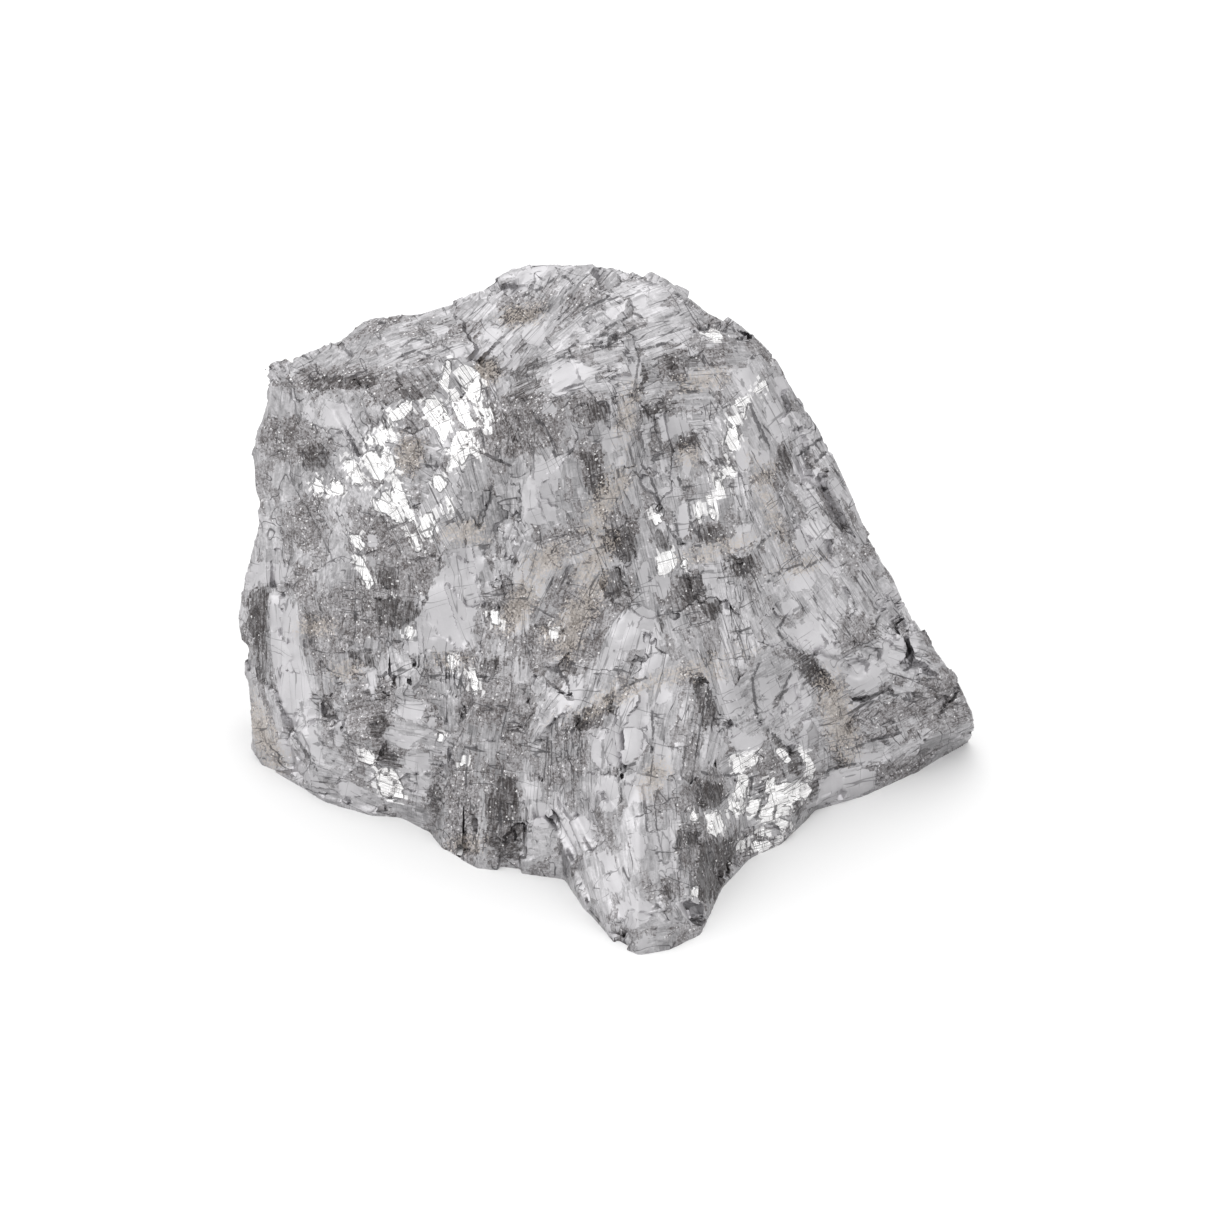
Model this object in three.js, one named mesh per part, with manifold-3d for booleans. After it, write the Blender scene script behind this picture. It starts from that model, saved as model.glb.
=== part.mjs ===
// Raw galena: one broken lump of lead ore, in millimetres with +Z up, standing on its flat broken base.
//
// The lump is wider (X) than it is deep (Y). Its front runs out to a spike at the floor, its right side
// is a long slope that ends in a low wing, and its top is a nearly level break.
// The big form is a skin of flat facets over named corners. Galena splits along three square directions,
// so each crystal grain then gets square ledges, blocks and cracks that lie along its own directions.

import * as THREE from 'three';
import { ConvexHull } from 'three/addons/math/ConvexHull.js';
import { mergeVertices } from 'three/addons/utils/BufferGeometryUtils.js';
import Module from 'manifold-3d';

const wasm = await Module();
wasm.setup();

// ---------------------------------------------------------------- corners of the big form

// The skin is spread over the corners as they are seen from this point inside the lump.
const HEART = new THREE.Vector3(-1, 7, 18);

const BASE_CORNERS = {
  footLeft: [-37.1, 10.0, 0],
  footLeftSide: [-35.7, 6.7, 0],
  footLeftTurn: [-31.5, 2.5, 0],
  footLeftCurve: [-28.8, -0.6, 0],
  footLeftFront: [-26.4, -2.0, 0],
  footDimpleLeft: [-23.7, -3.5, 0],
  footDimple: [-20.9, -3.7, 0],
  footStepLeft: [-17.7, -6.6, 0],
  footStep: [-16.0, -10.2, 0],
  footColumnLeft: [-12.7, -13.3, 0],
  footColumnRight: [-8.5, -14.2, 0],
  footSpikeRoot: [-4.1, -15.3, 0],
  footSpikeStep: [-2.2, -20.5, 0],
  footSpikeLeft: [-0.9, -22.8, 0],
  footSpikeHeel: [1.0, -27.0, 0],
  footSpikeTip: [3.1, -28.6, 0],
  footSpikeToe: [6.0, -27.7, 0],
  footSpikeEnd: [9.1, -25.0, 0],
  footSpikeNotch: [11.4, -16.8, 0],
  footBlock: [14.3, -11.4, 0],
  footBlockMiddle: [17.4, -8.9, 0],
  footBlockRight: [20.0, -4.6, 0],
  footGroove: [21.1, -2.4, 0],
  footWing: [26.6, 0.6, 0],
  footWingNear: [31.9, 5.0, 0],
  footWingOuter: [34.8, 8.2, 0],
  footWingTip: [38.0, 11.5, 0],
  footBackRight: [34.5, 16.5, 0],
  footBackWing: [25.0, 21.5, 0],
  footBackMiddle: [11.0, 25.5, 0],
  footBack: [-5.0, 28.5, 0],
  footBackLeft: [-21.0, 26.5, 0],
  footLeftBack: [-34.0, 19.5, 0],
  baseMiddle: [0, 4, 0],
  baseLeft: [-20, 11, 0],
  baseRight: [18, 9, 0],
  baseFront: [3, -12, 0],
};

const LOW_CORNERS = {
  leftLow: [-37.4, 10.8, 6.5],
  leftTurnLow: [-30.2, 1.2, 5],
  leftBelly: [-23.5, -2.8, 9],
  dimpleLow: [-18.3, -2.9, 5],
  columnLow: [-10.5, -11.1, 6.5],
  spikeRootLow: [-4.6, -13.4, 9],
  spikeShoulder: [0.5, -21.1, 7],
  spikeFace: [3.1, -26.0, 4.5],
  spikeRidgeLow: [5.8, -24.8, 6],
  spikeRightLow: [9.5, -18.7, 5.5],
  blockLow: [15.1, -9.2, 6.5],
  blockCorner: [20.5, -3.6, 6],
  grooveLow: [21.8, -2.2, 4],
  wingLow: [27.8, 2.8, 4],
  wingTipLow: [34.8, 6.7, 3.5],
  wingNose: [37.7, 6.4, 5.2],
  wingNoseLow: [38.2, 9.4, 2.5],
};

const MIDDLE_CORNERS = {
  leftMiddle: [-38.2, 14.5, 13],
  leftMiddleLow: [-37.5, 12.0, 10],
  leftMiddleHigh: [-37.3, 14.2, 17],
  leftFace: [-32.1, 7.0, 15],
  leftHollow: [-25.9, 2.4, 13],
  bellyLeft: [-20.1, 0.5, 18],
  bellyMiddle: [-15.0, -4.5, 14],
  bellyRight: [-8.5, -8.5, 14],
  ridgeFoot: [-3.1, -9.8, 17],
  spikeLeftFace: [-0.7, -17.0, 14.5],
  spikeBack: [3.1, -18.2, 13],
  spikeRidge: [8.0, -15.3, 13.5],
  blockTop: [15.0, -7.5, 14],
  grooveMiddle: [21.6, 0.8, 11],
  rightMiddle: [25.4, 3.3, 16.5],
  wingMiddle: [27.6, 2.8, 11],
  wingShoulder: [33.2, 5.0, 12.5],
  wingNotchLow: [30.1, 5.1, 15.5],
  wingNotchTop: [30.3, 7.4, 18.2],
  wingStep: [31.9, 5.6, 15.7],
  wingSlope: [34.3, 5.5, 12.3],
  wingHead: [36.4, 5.3, 9.6],
};

const UPPER_CORNERS = {
  leftUpper: [-35.6, 14.9, 23],
  leftUpperHigh: [-36.3, 16.4, 28],
  leftStrip: [-34.5, 13.1, 20.5],
  leftShoulderLow: [-29.0, 9.7, 24.5],
  shoulderLow: [-21.6, 4.3, 25],
  bellyTop: [-12.5, 0.6, 28],
  centre: [-6.5, -3.4, 23.5],
  crease: [0.5, -7.2, 20],
  creaseTop: [4.7, -3.1, 25.5],
  rightCentre: [9.0, -7.0, 21],
  grooveTop: [18.2, 0.5, 18],
  wingTop: [29.2, 8.0, 20.5],
  rightFace: [22.3, 4.6, 21.5],
  rightSlope: [26.0, 8.5, 26.3],
  leftHigh: [-36.1, 17.4, 32],
  shoulderLeft: [-28.9, 13.2, 34],
  shoulderPit: [-24.6, 9.4, 32.5],
  shoulderFront: [-17.5, 7.9, 36.5],
  smoothPatch: [-6.5, 0.7, 34.5],
  centreHigh: [0.3, -0.5, 34],
  striatedLow: [10.5, -1.5, 28],
  striatedMiddle: [6.0, 3.1, 35.5],
  rightRidgeLow: [13.2, 1.2, 31],
  rightUpper: [18.2, 7.9, 31],
  rightEdge: [23.8, 10.2, 31],
  rightSlopeHigh: [22.4, 11.4, 33.5],
};

const TOP_CORNERS = {
  cornerLeft: [-33.9, 17.1, 37.5],
  edgeLeft: [-26.7, 14.2, 39.5],
  edgeShoulder: [-20.4, 14.4, 42],
  edgeNotch: [-16.1, 13.6, 43],
  edgeDip: [-13.0, 10.3, 39.5],
  granularHigh: [-4.6, 2.0, 38.2],
  edgeFront: [-6.5, 2.6, 42],
  edgeLip: [-1.4, 2.6, 43.5],
  striatedTop: [8.2, 8.3, 41.5],
  edgeRight: [3.2, 9.1, 45],
  edgeCrest: [9.2, 13.2, 46],
  edgeTurn: [13.7, 13.5, 43.5],
  rightRidge: [13.4, 7.4, 37.8],
  rightHigh: [20.6, 13.8, 36.5],
  rightTurn: [19.5, 15.3, 37.8],
  topLeft: [-34.1, 18.6, 38.5],
  topLeftStep: [-32.7, 19.2, 40],
  topLeftRise: [-28.9, 20.5, 41.1],
  topLeftLevel: [-24.6, 22.7, 43.2],
  topSaddle: [-18.0, 21.9, 44.2],
  topRise: [-12.8, 21.5, 47],
  topRiseHigh: [-10.2, 20.6, 49],
  topSummitLeft: [-7.7, 20.8, 50],
  topSummit: [-4.9, 21.0, 50.6],
  topLevel: [-0.2, 20.7, 49.8],
  topLevelRight: [5.3, 19.6, 49.3],
  topRound: [8.3, 19.1, 48],
  topRoundLow: [11.2, 18.0, 46.2],
  topShoulder: [13.1, 16.9, 45],
  topShoulderLow: [15.1, 17.6, 43.2],
  topShoulderFoot: [17.2, 15.3, 41.5],
  topHollow: [-8.7, 15.4, 44.5],
  topSwell: [-0.7, 11.0, 48],
};

const BACK_CORNERS = {
  backHighLeft: [-33.5, 22.5, 30],
  backHigh: [-22.0, 27.0, 36],
  backHighMiddle: [-5.0, 27.5, 41],
  backHighRight: [10.0, 23.5, 37],
  backRight: [20.0, 20.5, 26],
  backWing: [29.5, 17.0, 14],
  backLeft: [-36.0, 21.0, 14],
  backBelly: [-20.0, 29.5, 19],
  backMiddle: [-2.0, 31.0, 21],
  backSlope: [13.0, 27.5, 16],
  backLowRight: [27.0, 21.5, 7],
};

// ---------------------------------------------------------------- crystal grains

// Each grain: a point it is centred on, the way its main cleavage plane faces, and the way its long
// ledges run. The third cleavage direction is square to both.
const GRAINS = {
  topLeft: { near: [-26, 19, 42], facing: [-0.1, -0.4, 0.9], along: [0.9, 0.4, 0.2] },
  topMiddle: { near: [-9, 16, 46], facing: [-0.15, -0.3, 0.94], along: [0.8, 0.6, 0.2] },
  topRight: { near: [4, 15, 48], facing: [0.1, -0.3, 0.94], along: [0.85, 0.5, 0.1] },
  topEdge: { near: [-3, 6, 44], facing: [-0.1, -0.5, 0.85], along: [0.9, 0.3, 0] },
  leftShoulder: { near: [-30, 14, 33], facing: [-0.35, -0.8, 0.4], along: [0.5, -0.3, -0.7] },
  sparkle: { near: [-19, 9, 34], facing: [-0.1, -0.85, 0.5], along: [0.4, -0.3, -0.85] },
  leftFace: { near: [-32, 7, 15], facing: [-0.55, -0.8, 0.2], along: [0.25, -0.1, -0.95] },
  leftFoot: { near: [-27, 0, 5], facing: [-0.35, -0.9, 0.2], along: [0.8, -0.4, 0.1] },
  belly: { near: [-16, -1, 19], facing: [-0.15, -0.9, 0.4], along: [0.1, -0.4, -0.9] },
  column: { near: [-11, -11, 6], facing: [-0.2, -0.95, 0.25], along: [0.05, -0.2, -0.98] },
  smooth: { near: [-6, 0, 32], facing: [-0.1, -0.95, 0.25], along: [0.3, -0.2, -0.9] },
  granular: { near: [-1, -3, 25], facing: [0.1, -0.9, 0.4], along: [-0.3, -0.3, -0.9] },
  striated: { near: [7, 4, 37], facing: [0.2, -0.85, 0.5], along: [0.15, -0.45, -0.88] },
  striatedLow: { near: [10, -4, 25], facing: [0.25, -0.85, 0.45], along: [0.1, -0.45, -0.88] },
  rightHigh: { near: [18, 9, 34], facing: [0.55, -0.65, 0.5], along: [0.4, -0.25, -0.87] },
  rightSlope: { near: [22, 5, 23], facing: [0.5, -0.75, 0.42], along: [0.45, -0.15, -0.88] },
  wing: { near: [31, 4, 8], facing: [0.25, -0.92, 0.3], along: [0.95, 0.28, 0.1] },
  wingTop: { near: [31, 7, 15], facing: [0.5, -0.5, 0.7], along: [0.7, 0.3, -0.6] },
  spikeLeft: { near: [-1, -19, 9], facing: [-0.65, -0.65, 0.4], along: [0.45, -0.75, -0.5] },
  spikeFront: { near: [5, -19, 11], facing: [0.1, -0.75, 0.66], along: [0.1, -0.7, -0.7] },
  spikeRight: { near: [11, -15, 5], facing: [0.85, -0.45, 0.2], along: [0.1, -0.2, -0.97] },
  block: { near: [17, -7, 7], facing: [0.4, -0.85, 0.35], along: [0.85, 0.4, -0.1] },
  backLeft: { near: [-20, 28, 18], facing: [-0.2, 0.96, 0.15], along: [0.3, 0.1, -0.95] },
  backMiddle: { near: [0, 29, 24], facing: [0.05, 0.95, 0.3], along: [0.9, -0.1, 0.2] },
  backRight: { near: [16, 24, 16], facing: [0.4, 0.85, 0.35], along: [-0.4, 0.3, -0.85] },
  backTop: { near: [-6, 24, 45], facing: [0, 0.7, 0.7], along: [0.95, 0.1, 0] },
  leftEnd: { near: [-37, 17, 14], facing: [-0.96, 0.1, 0.15], along: [0.1, 0.3, -0.95] },
};

// Sizes in mm. Square is how nearly the skin must face the grain's main plane: 1 is exactly.
const LEDGE = { length: [2.5, 8], width: [1, 3.2], depth: [0.2, 0.7], clear: 2, square: 0.75 };
const BLOCK = { length: [2, 5], width: [1, 2.4], height: [0.2, 0.45], root: 1.2, square: 0.88 };
const LEDGE_TRIES = 360;
const BLOCK_TRIES = 120;
const SEED = 5;

// Cracks wide enough to see into. Each starts at a point on the skin; size is length, width and depth.
const CRACKS = {
  wingCrack: {
    at: [30.6, 4.6, 15.5], facing: [0.4, -0.8, 0.4], along: [0.2, -0.3, -0.93], size: [5.5, 0.8, 2.6],
  },
  wingShelf: {
    at: [28.5, 2.6, 10.2], facing: [0.1, -0.95, 0.3], along: [0.95, 0.2, -0.1], size: [8, 0.5, 1.2],
  },
  wingShelfLow: {
    at: [28.5, 2.4, 5.6], facing: [0.1, -0.95, 0.3], along: [0.95, 0.25, 0.15], size: [9, 0.5, 1.2],
  },
  blockSeam: {
    at: [17.3, -6.4, 12.5], facing: [0.3, -0.8, 0.5], along: [0.7, -0.3, -0.6], size: [9, 0.6, 1.4],
  },
  columnLeft: {
    at: [-14.5, -10.2, 3.5], facing: [-0.2, -0.95, 0.2], along: [0, -0.2, -0.98], size: [7, 0.9, 1.8],
  },
  columnRight: {
    at: [-8.6, -12.2, 6], facing: [0.1, -0.97, 0.2], along: [0, -0.2, -0.98], size: [7, 0.7, 1.8],
  },
};

// ---------------------------------------------------------------- helpers

function vector(xyz) {
  return new THREE.Vector3(...xyz);
}

function cornerPoints(...groups) {
  return groups.flatMap((group) => Object.values(group).map(vector));
}

// A repeatable stream of numbers from 0 to 1.
function numberStream(seed) {
  let state = seed;
  return () => {
    state = (state + 0x6d2b79f5) | 0;
    let mixed = Math.imul(state ^ (state >>> 15), 1 | state);
    mixed = (mixed + Math.imul(mixed ^ (mixed >>> 7), 61 | mixed)) ^ mixed;
    return ((mixed ^ (mixed >>> 14)) >>> 0) / 4294967296;
  };
}

const nextNumber = numberStream(SEED);

function between([low, high]) {
  return THREE.MathUtils.lerp(low, high, nextNumber());
}

// A closed skin of triangles over the corners: each corner is seen from the heart as a point on a ball,
// the ball's convex hull says which corners are neighbours, and every corner keeps its own place.
function facetedSkin(corners, heart) {
  const directions = corners.map((corner) => corner.clone().sub(heart).normalize());
  const cornerOf = new Map(directions.map((direction, index) => [direction, index]));
  const hull = new ConvexHull().setFromPoints(directions);
  const index = [];
  for (const face of hull.faces) {
    let edge = face.edge;
    do {
      index.push(cornerOf.get(edge.head().point));
      edge = edge.next;
    } while (edge !== face.edge);
  }
  const skin = new THREE.BufferGeometry().setFromPoints(corners);
  skin.setIndex(index);
  return skin;
}

// The three cleavage directions of a grain as a rotation: X along its ledges, Z out of its main plane.
function cleavageFrame({ facing, along }) {
  const out = vector(facing).normalize();
  const across = out.clone().cross(vector(along)).normalize();
  const lengthwise = across.clone().cross(out);
  return new THREE.Matrix4().makeBasis(lengthwise, across, out);
}

// A rectangular block in a cleavage frame. It lies from low to high, in mm out of the main plane at point.
function blockAt(point, frame, length, width, low, high) {
  const block = new THREE.BoxGeometry(length, width, high - low);
  block.translate(0, 0, (low + high) / 2);
  block.applyMatrix4(frame);
  block.translate(point.x, point.y, point.z);
  return block;
}

function solidOf(geometry) {
  const bare = geometry.clone();
  bare.deleteAttribute('normal');
  bare.deleteAttribute('uv');
  const welded = mergeVertices(bare, 1e-4);
  const mesh = new wasm.Mesh({
    numProp: 3,
    vertProperties: new Float32Array(welded.attributes.position.array),
    triVerts: new Uint32Array(welded.index.array),
  });
  return new wasm.Manifold(mesh);
}

function geometryOf(solid) {
  const mesh = solid.getMesh();
  const geometry = new THREE.BufferGeometry();
  geometry.setAttribute('position', new THREE.BufferAttribute(new Float32Array(mesh.vertProperties), 3));
  geometry.setIndex(new THREE.BufferAttribute(new Uint32Array(mesh.triVerts), 1));
  geometry.computeVertexNormals();
  return geometry;
}

// ---------------------------------------------------------------- relief

function nearestGrain(point) {
  const grains = Object.values(GRAINS);
  const distances = grains.map((grain) => vector(grain.near).distanceTo(point));
  return grains[distances.indexOf(Math.min(...distances))];
}

// Random points spread evenly over the skin, off its base, each with the way the skin faces there.
function skinPoints(skin, count) {
  const corners = skin.attributes.position;
  const index = skin.index;
  const triangles = [];
  let total = 0;
  for (let i = 0; i < index.count; i += 3) {
    const triangle = new THREE.Triangle();
    triangle.setFromAttributeAndIndices(corners, index.getX(i), index.getX(i + 1), index.getX(i + 2));
    const onBase = triangle.a.z + triangle.b.z + triangle.c.z < 0.01;
    if (!onBase) {
      total += triangle.getArea();
      triangles.push({ triangle, reach: total });
    }
  }
  return Array.from({ length: count }, () => {
    const pick = nextNumber() * total;
    const { triangle } = triangles.find(({ reach }) => reach >= pick);
    const root = Math.sqrt(nextNumber());
    const share = nextNumber();
    const point = new THREE.Vector3()
      .addScaledVector(triangle.a, 1 - root)
      .addScaledVector(triangle.b, root * (1 - share))
      .addScaledVector(triangle.c, root * share);
    return { point, outward: triangle.getNormal(new THREE.Vector3()) };
  });
}

// The random points where the skin lies nearly along its grain's main plane, each with that grain.
function grainPoints(skin, tries, square) {
  return skinPoints(skin, tries)
    .map(({ point, outward }) => ({ point, outward, grain: nearestGrain(point) }))
    .filter(({ outward, grain }) => vector(grain.facing).normalize().dot(outward) > square);
}

function ledgeCutters(skin) {
  return grainPoints(skin, LEDGE_TRIES, LEDGE.square).map(({ point, grain }) => {
    const frame = cleavageFrame(grain);
    const depth = between(LEDGE.depth);
    return blockAt(point, frame, between(LEDGE.length), between(LEDGE.width), -depth, LEDGE.clear);
  });
}

function raisedBlocks(skin) {
  return grainPoints(skin, BLOCK_TRIES, BLOCK.square).map(({ point, grain }) => {
    const frame = cleavageFrame(grain);
    const height = between(BLOCK.height);
    return blockAt(point, frame, between(BLOCK.length), between(BLOCK.width), -BLOCK.root, height);
  });
}

function crackCutters() {
  return Object.values(CRACKS).map((crack) => {
    const [length, width, depth] = crack.size;
    return blockAt(vector(crack.at), cleavageFrame(crack), length, width, -depth, LEDGE.clear);
  });
}

function unionOf(geometries) {
  return geometries.map(solidOf).reduce((joined, solid) => joined.add(solid));
}

// Everything under the floor plane, cut away so that the base is one flat face.
function underFloor() {
  const room = new THREE.BoxGeometry(200, 200, 20);
  room.translate(0, 0, -10);
  return solidOf(room);
}

// The lump without the crumbs that the cuts left loose.
function largestPiece(solid) {
  return solid.decompose().reduce((best, piece) => (piece.volume() > best.volume() ? piece : best));
}

function galenaSolid() {
  const skin = facetedSkin(
    cornerPoints(BASE_CORNERS, LOW_CORNERS, MIDDLE_CORNERS, UPPER_CORNERS, TOP_CORNERS, BACK_CORNERS),
    HEART,
  );
  const rough = solidOf(skin)
    .add(unionOf(raisedBlocks(skin)))
    .subtract(unionOf(ledgeCutters(skin)))
    .subtract(unionOf(crackCutters()))
    .subtract(underFloor());
  return largestPiece(rough);
}

// ---------------------------------------------------------------- the object

function galenaLump() {
  const material = new THREE.MeshStandardMaterial({ color: 0x9a9ca2, roughness: 0.35, metalness: 0.9 });
  const galena = new THREE.Mesh(geometryOf(galenaSolid()), material);
  galena.name = 'galena';
  return galena;
}

// Moves the piece sideways so that the middle of its outline lies over the origin.
function centreOnBase(piece) {
  const centre = new THREE.Box3().setFromObject(piece).getCenter(new THREE.Vector3());
  piece.position.set(-centre.x, -centre.y, 0);
}

const galena = galenaLump();
centreOnBase(galena);

const specimen = new THREE.Group();
specimen.add(galena);

export default specimen;
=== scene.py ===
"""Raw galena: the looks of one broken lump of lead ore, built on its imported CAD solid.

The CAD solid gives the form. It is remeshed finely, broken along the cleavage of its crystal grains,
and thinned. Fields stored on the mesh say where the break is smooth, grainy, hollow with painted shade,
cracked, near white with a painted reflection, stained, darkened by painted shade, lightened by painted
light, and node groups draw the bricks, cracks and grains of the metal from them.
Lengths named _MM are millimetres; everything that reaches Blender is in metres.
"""

import math

import bpy
import numpy as np
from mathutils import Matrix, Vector


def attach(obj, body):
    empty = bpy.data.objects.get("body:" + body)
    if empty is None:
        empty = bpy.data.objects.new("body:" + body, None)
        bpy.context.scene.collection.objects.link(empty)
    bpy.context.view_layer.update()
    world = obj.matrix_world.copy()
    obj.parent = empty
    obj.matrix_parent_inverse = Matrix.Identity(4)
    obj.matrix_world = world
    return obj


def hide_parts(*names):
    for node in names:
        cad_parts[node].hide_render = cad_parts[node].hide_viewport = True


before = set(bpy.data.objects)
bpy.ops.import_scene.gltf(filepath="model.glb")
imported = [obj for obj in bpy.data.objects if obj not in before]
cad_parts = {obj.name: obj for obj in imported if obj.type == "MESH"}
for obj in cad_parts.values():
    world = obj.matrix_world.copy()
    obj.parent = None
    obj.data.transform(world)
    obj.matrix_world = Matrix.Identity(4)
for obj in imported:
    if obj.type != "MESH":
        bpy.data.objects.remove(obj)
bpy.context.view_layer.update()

bl_info = {
    "name": "Raw galena",
    "version": (1, 0, 0),
    "blender": (4, 5, 0),
    "location": "View3D > Sidebar > Galena",
    "description": "Builds a lump of raw galena with cleaved metal faces",
    "category": "Add Mesh",
}

MM = 0.001
NODE = "galena"
PIECE = "galena_lump"

# The show side: the lump is looked at from the front and from above, at this height angle.
SHOW_ELEVATION = math.radians(28.0)
SHOW_TARGET_MM = np.array([0.1, -1.3, 22.0])
SHOW_DISTANCE_MM = 333.0
LENS_MM = 100.0
SENSOR_MM = 36.0

# ------------------------------------------------------------------ crystal grains

# Each grain: a place it is centred on, the way its main cleavage plane faces, the way its ledges run.
GRAINS = {
    "top left": ((-26, 18, 42), (-0.1, -0.4, 0.9), (0.9, 0.4, 0.2)),
    "top middle": ((-9, 15, 46), (-0.15, -0.3, 0.94), (0.8, 0.6, 0.2)),
    "top right": ((4, 14, 48), (0.1, -0.3, 0.94), (0.85, 0.5, 0.1)),
    "top edge": ((-3, 5, 44), (-0.1, -0.5, 0.85), (0.9, 0.3, 0)),
    "left shoulder": ((-30, 13, 33), (-0.35, -0.8, 0.4), (0.5, -0.3, -0.7)),
    "sparkle": ((-19, 8, 34), (-0.1, -0.85, 0.5), (0.4, -0.3, -0.85)),
    "left face": ((-32, 6, 15), (-0.55, -0.8, 0.2), (0.25, -0.1, -0.95)),
    "left foot": ((-27, -1, 5), (-0.35, -0.9, 0.2), (0.8, -0.4, 0.1)),
    "belly": ((-16, -2, 19), (-0.15, -0.9, 0.4), (0.1, -0.4, -0.9)),
    "column": ((-11, -12, 6), (-0.2, -0.95, 0.25), (0.05, -0.2, -0.98)),
    "smooth": ((-6, -1, 32), (-0.1, -0.95, 0.25), (0.3, -0.2, -0.9)),
    "granular": ((-1, -4, 25), (0.1, -0.9, 0.4), (-0.3, -0.3, -0.9)),
    "striated": ((7, 3, 37), (0.2, -0.85, 0.5), (0.15, -0.45, -0.88)),
    "striated low": ((10, -5, 25), (0.25, -0.85, 0.45), (0.1, -0.45, -0.88)),
    "right high": ((18, 8, 34), (0.55, -0.65, 0.5), (0.4, -0.25, -0.87)),
    "right slope": ((22, 4, 23), (0.5, -0.75, 0.42), (0.45, -0.15, -0.88)),
    "wing": ((31, 3, 8), (0.25, -0.92, 0.3), (0.95, 0.28, 0.1)),
    "wing top": ((31, 6, 15), (0.5, -0.5, 0.7), (0.7, 0.3, -0.6)),
    "spike left": ((-1, -20, 9), (-0.65, -0.65, 0.4), (0.45, -0.75, -0.5)),
    "spike front": ((5, -20, 11), (0.1, -0.75, 0.66), (0.1, -0.7, -0.7)),
    "spike right": ((11, -16, 5), (0.85, -0.45, 0.2), (0.1, -0.2, -0.97)),
    "block": ((17, -8, 7), (0.4, -0.85, 0.35), (0.85, 0.4, -0.1)),
    "back left": ((-20, 27, 18), (-0.2, 0.96, 0.15), (0.3, 0.1, -0.95)),
    "back middle": ((0, 28, 24), (0.05, 0.95, 0.3), (0.9, -0.1, 0.2)),
    "back right": ((16, 23, 16), (0.4, 0.85, 0.35), (-0.4, 0.3, -0.85)),
    "back top": ((-6, 23, 45), (0, 0.7, 0.7), (0.95, 0.1, 0)),
    "left end": ((-37, 16, 14), (-0.96, 0.1, 0.15), (0.1, 0.3, -0.95)),
    "base": ((0, 3, -8), (0, 0, -1), (0.9, 0.3, 0)),
}
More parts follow.
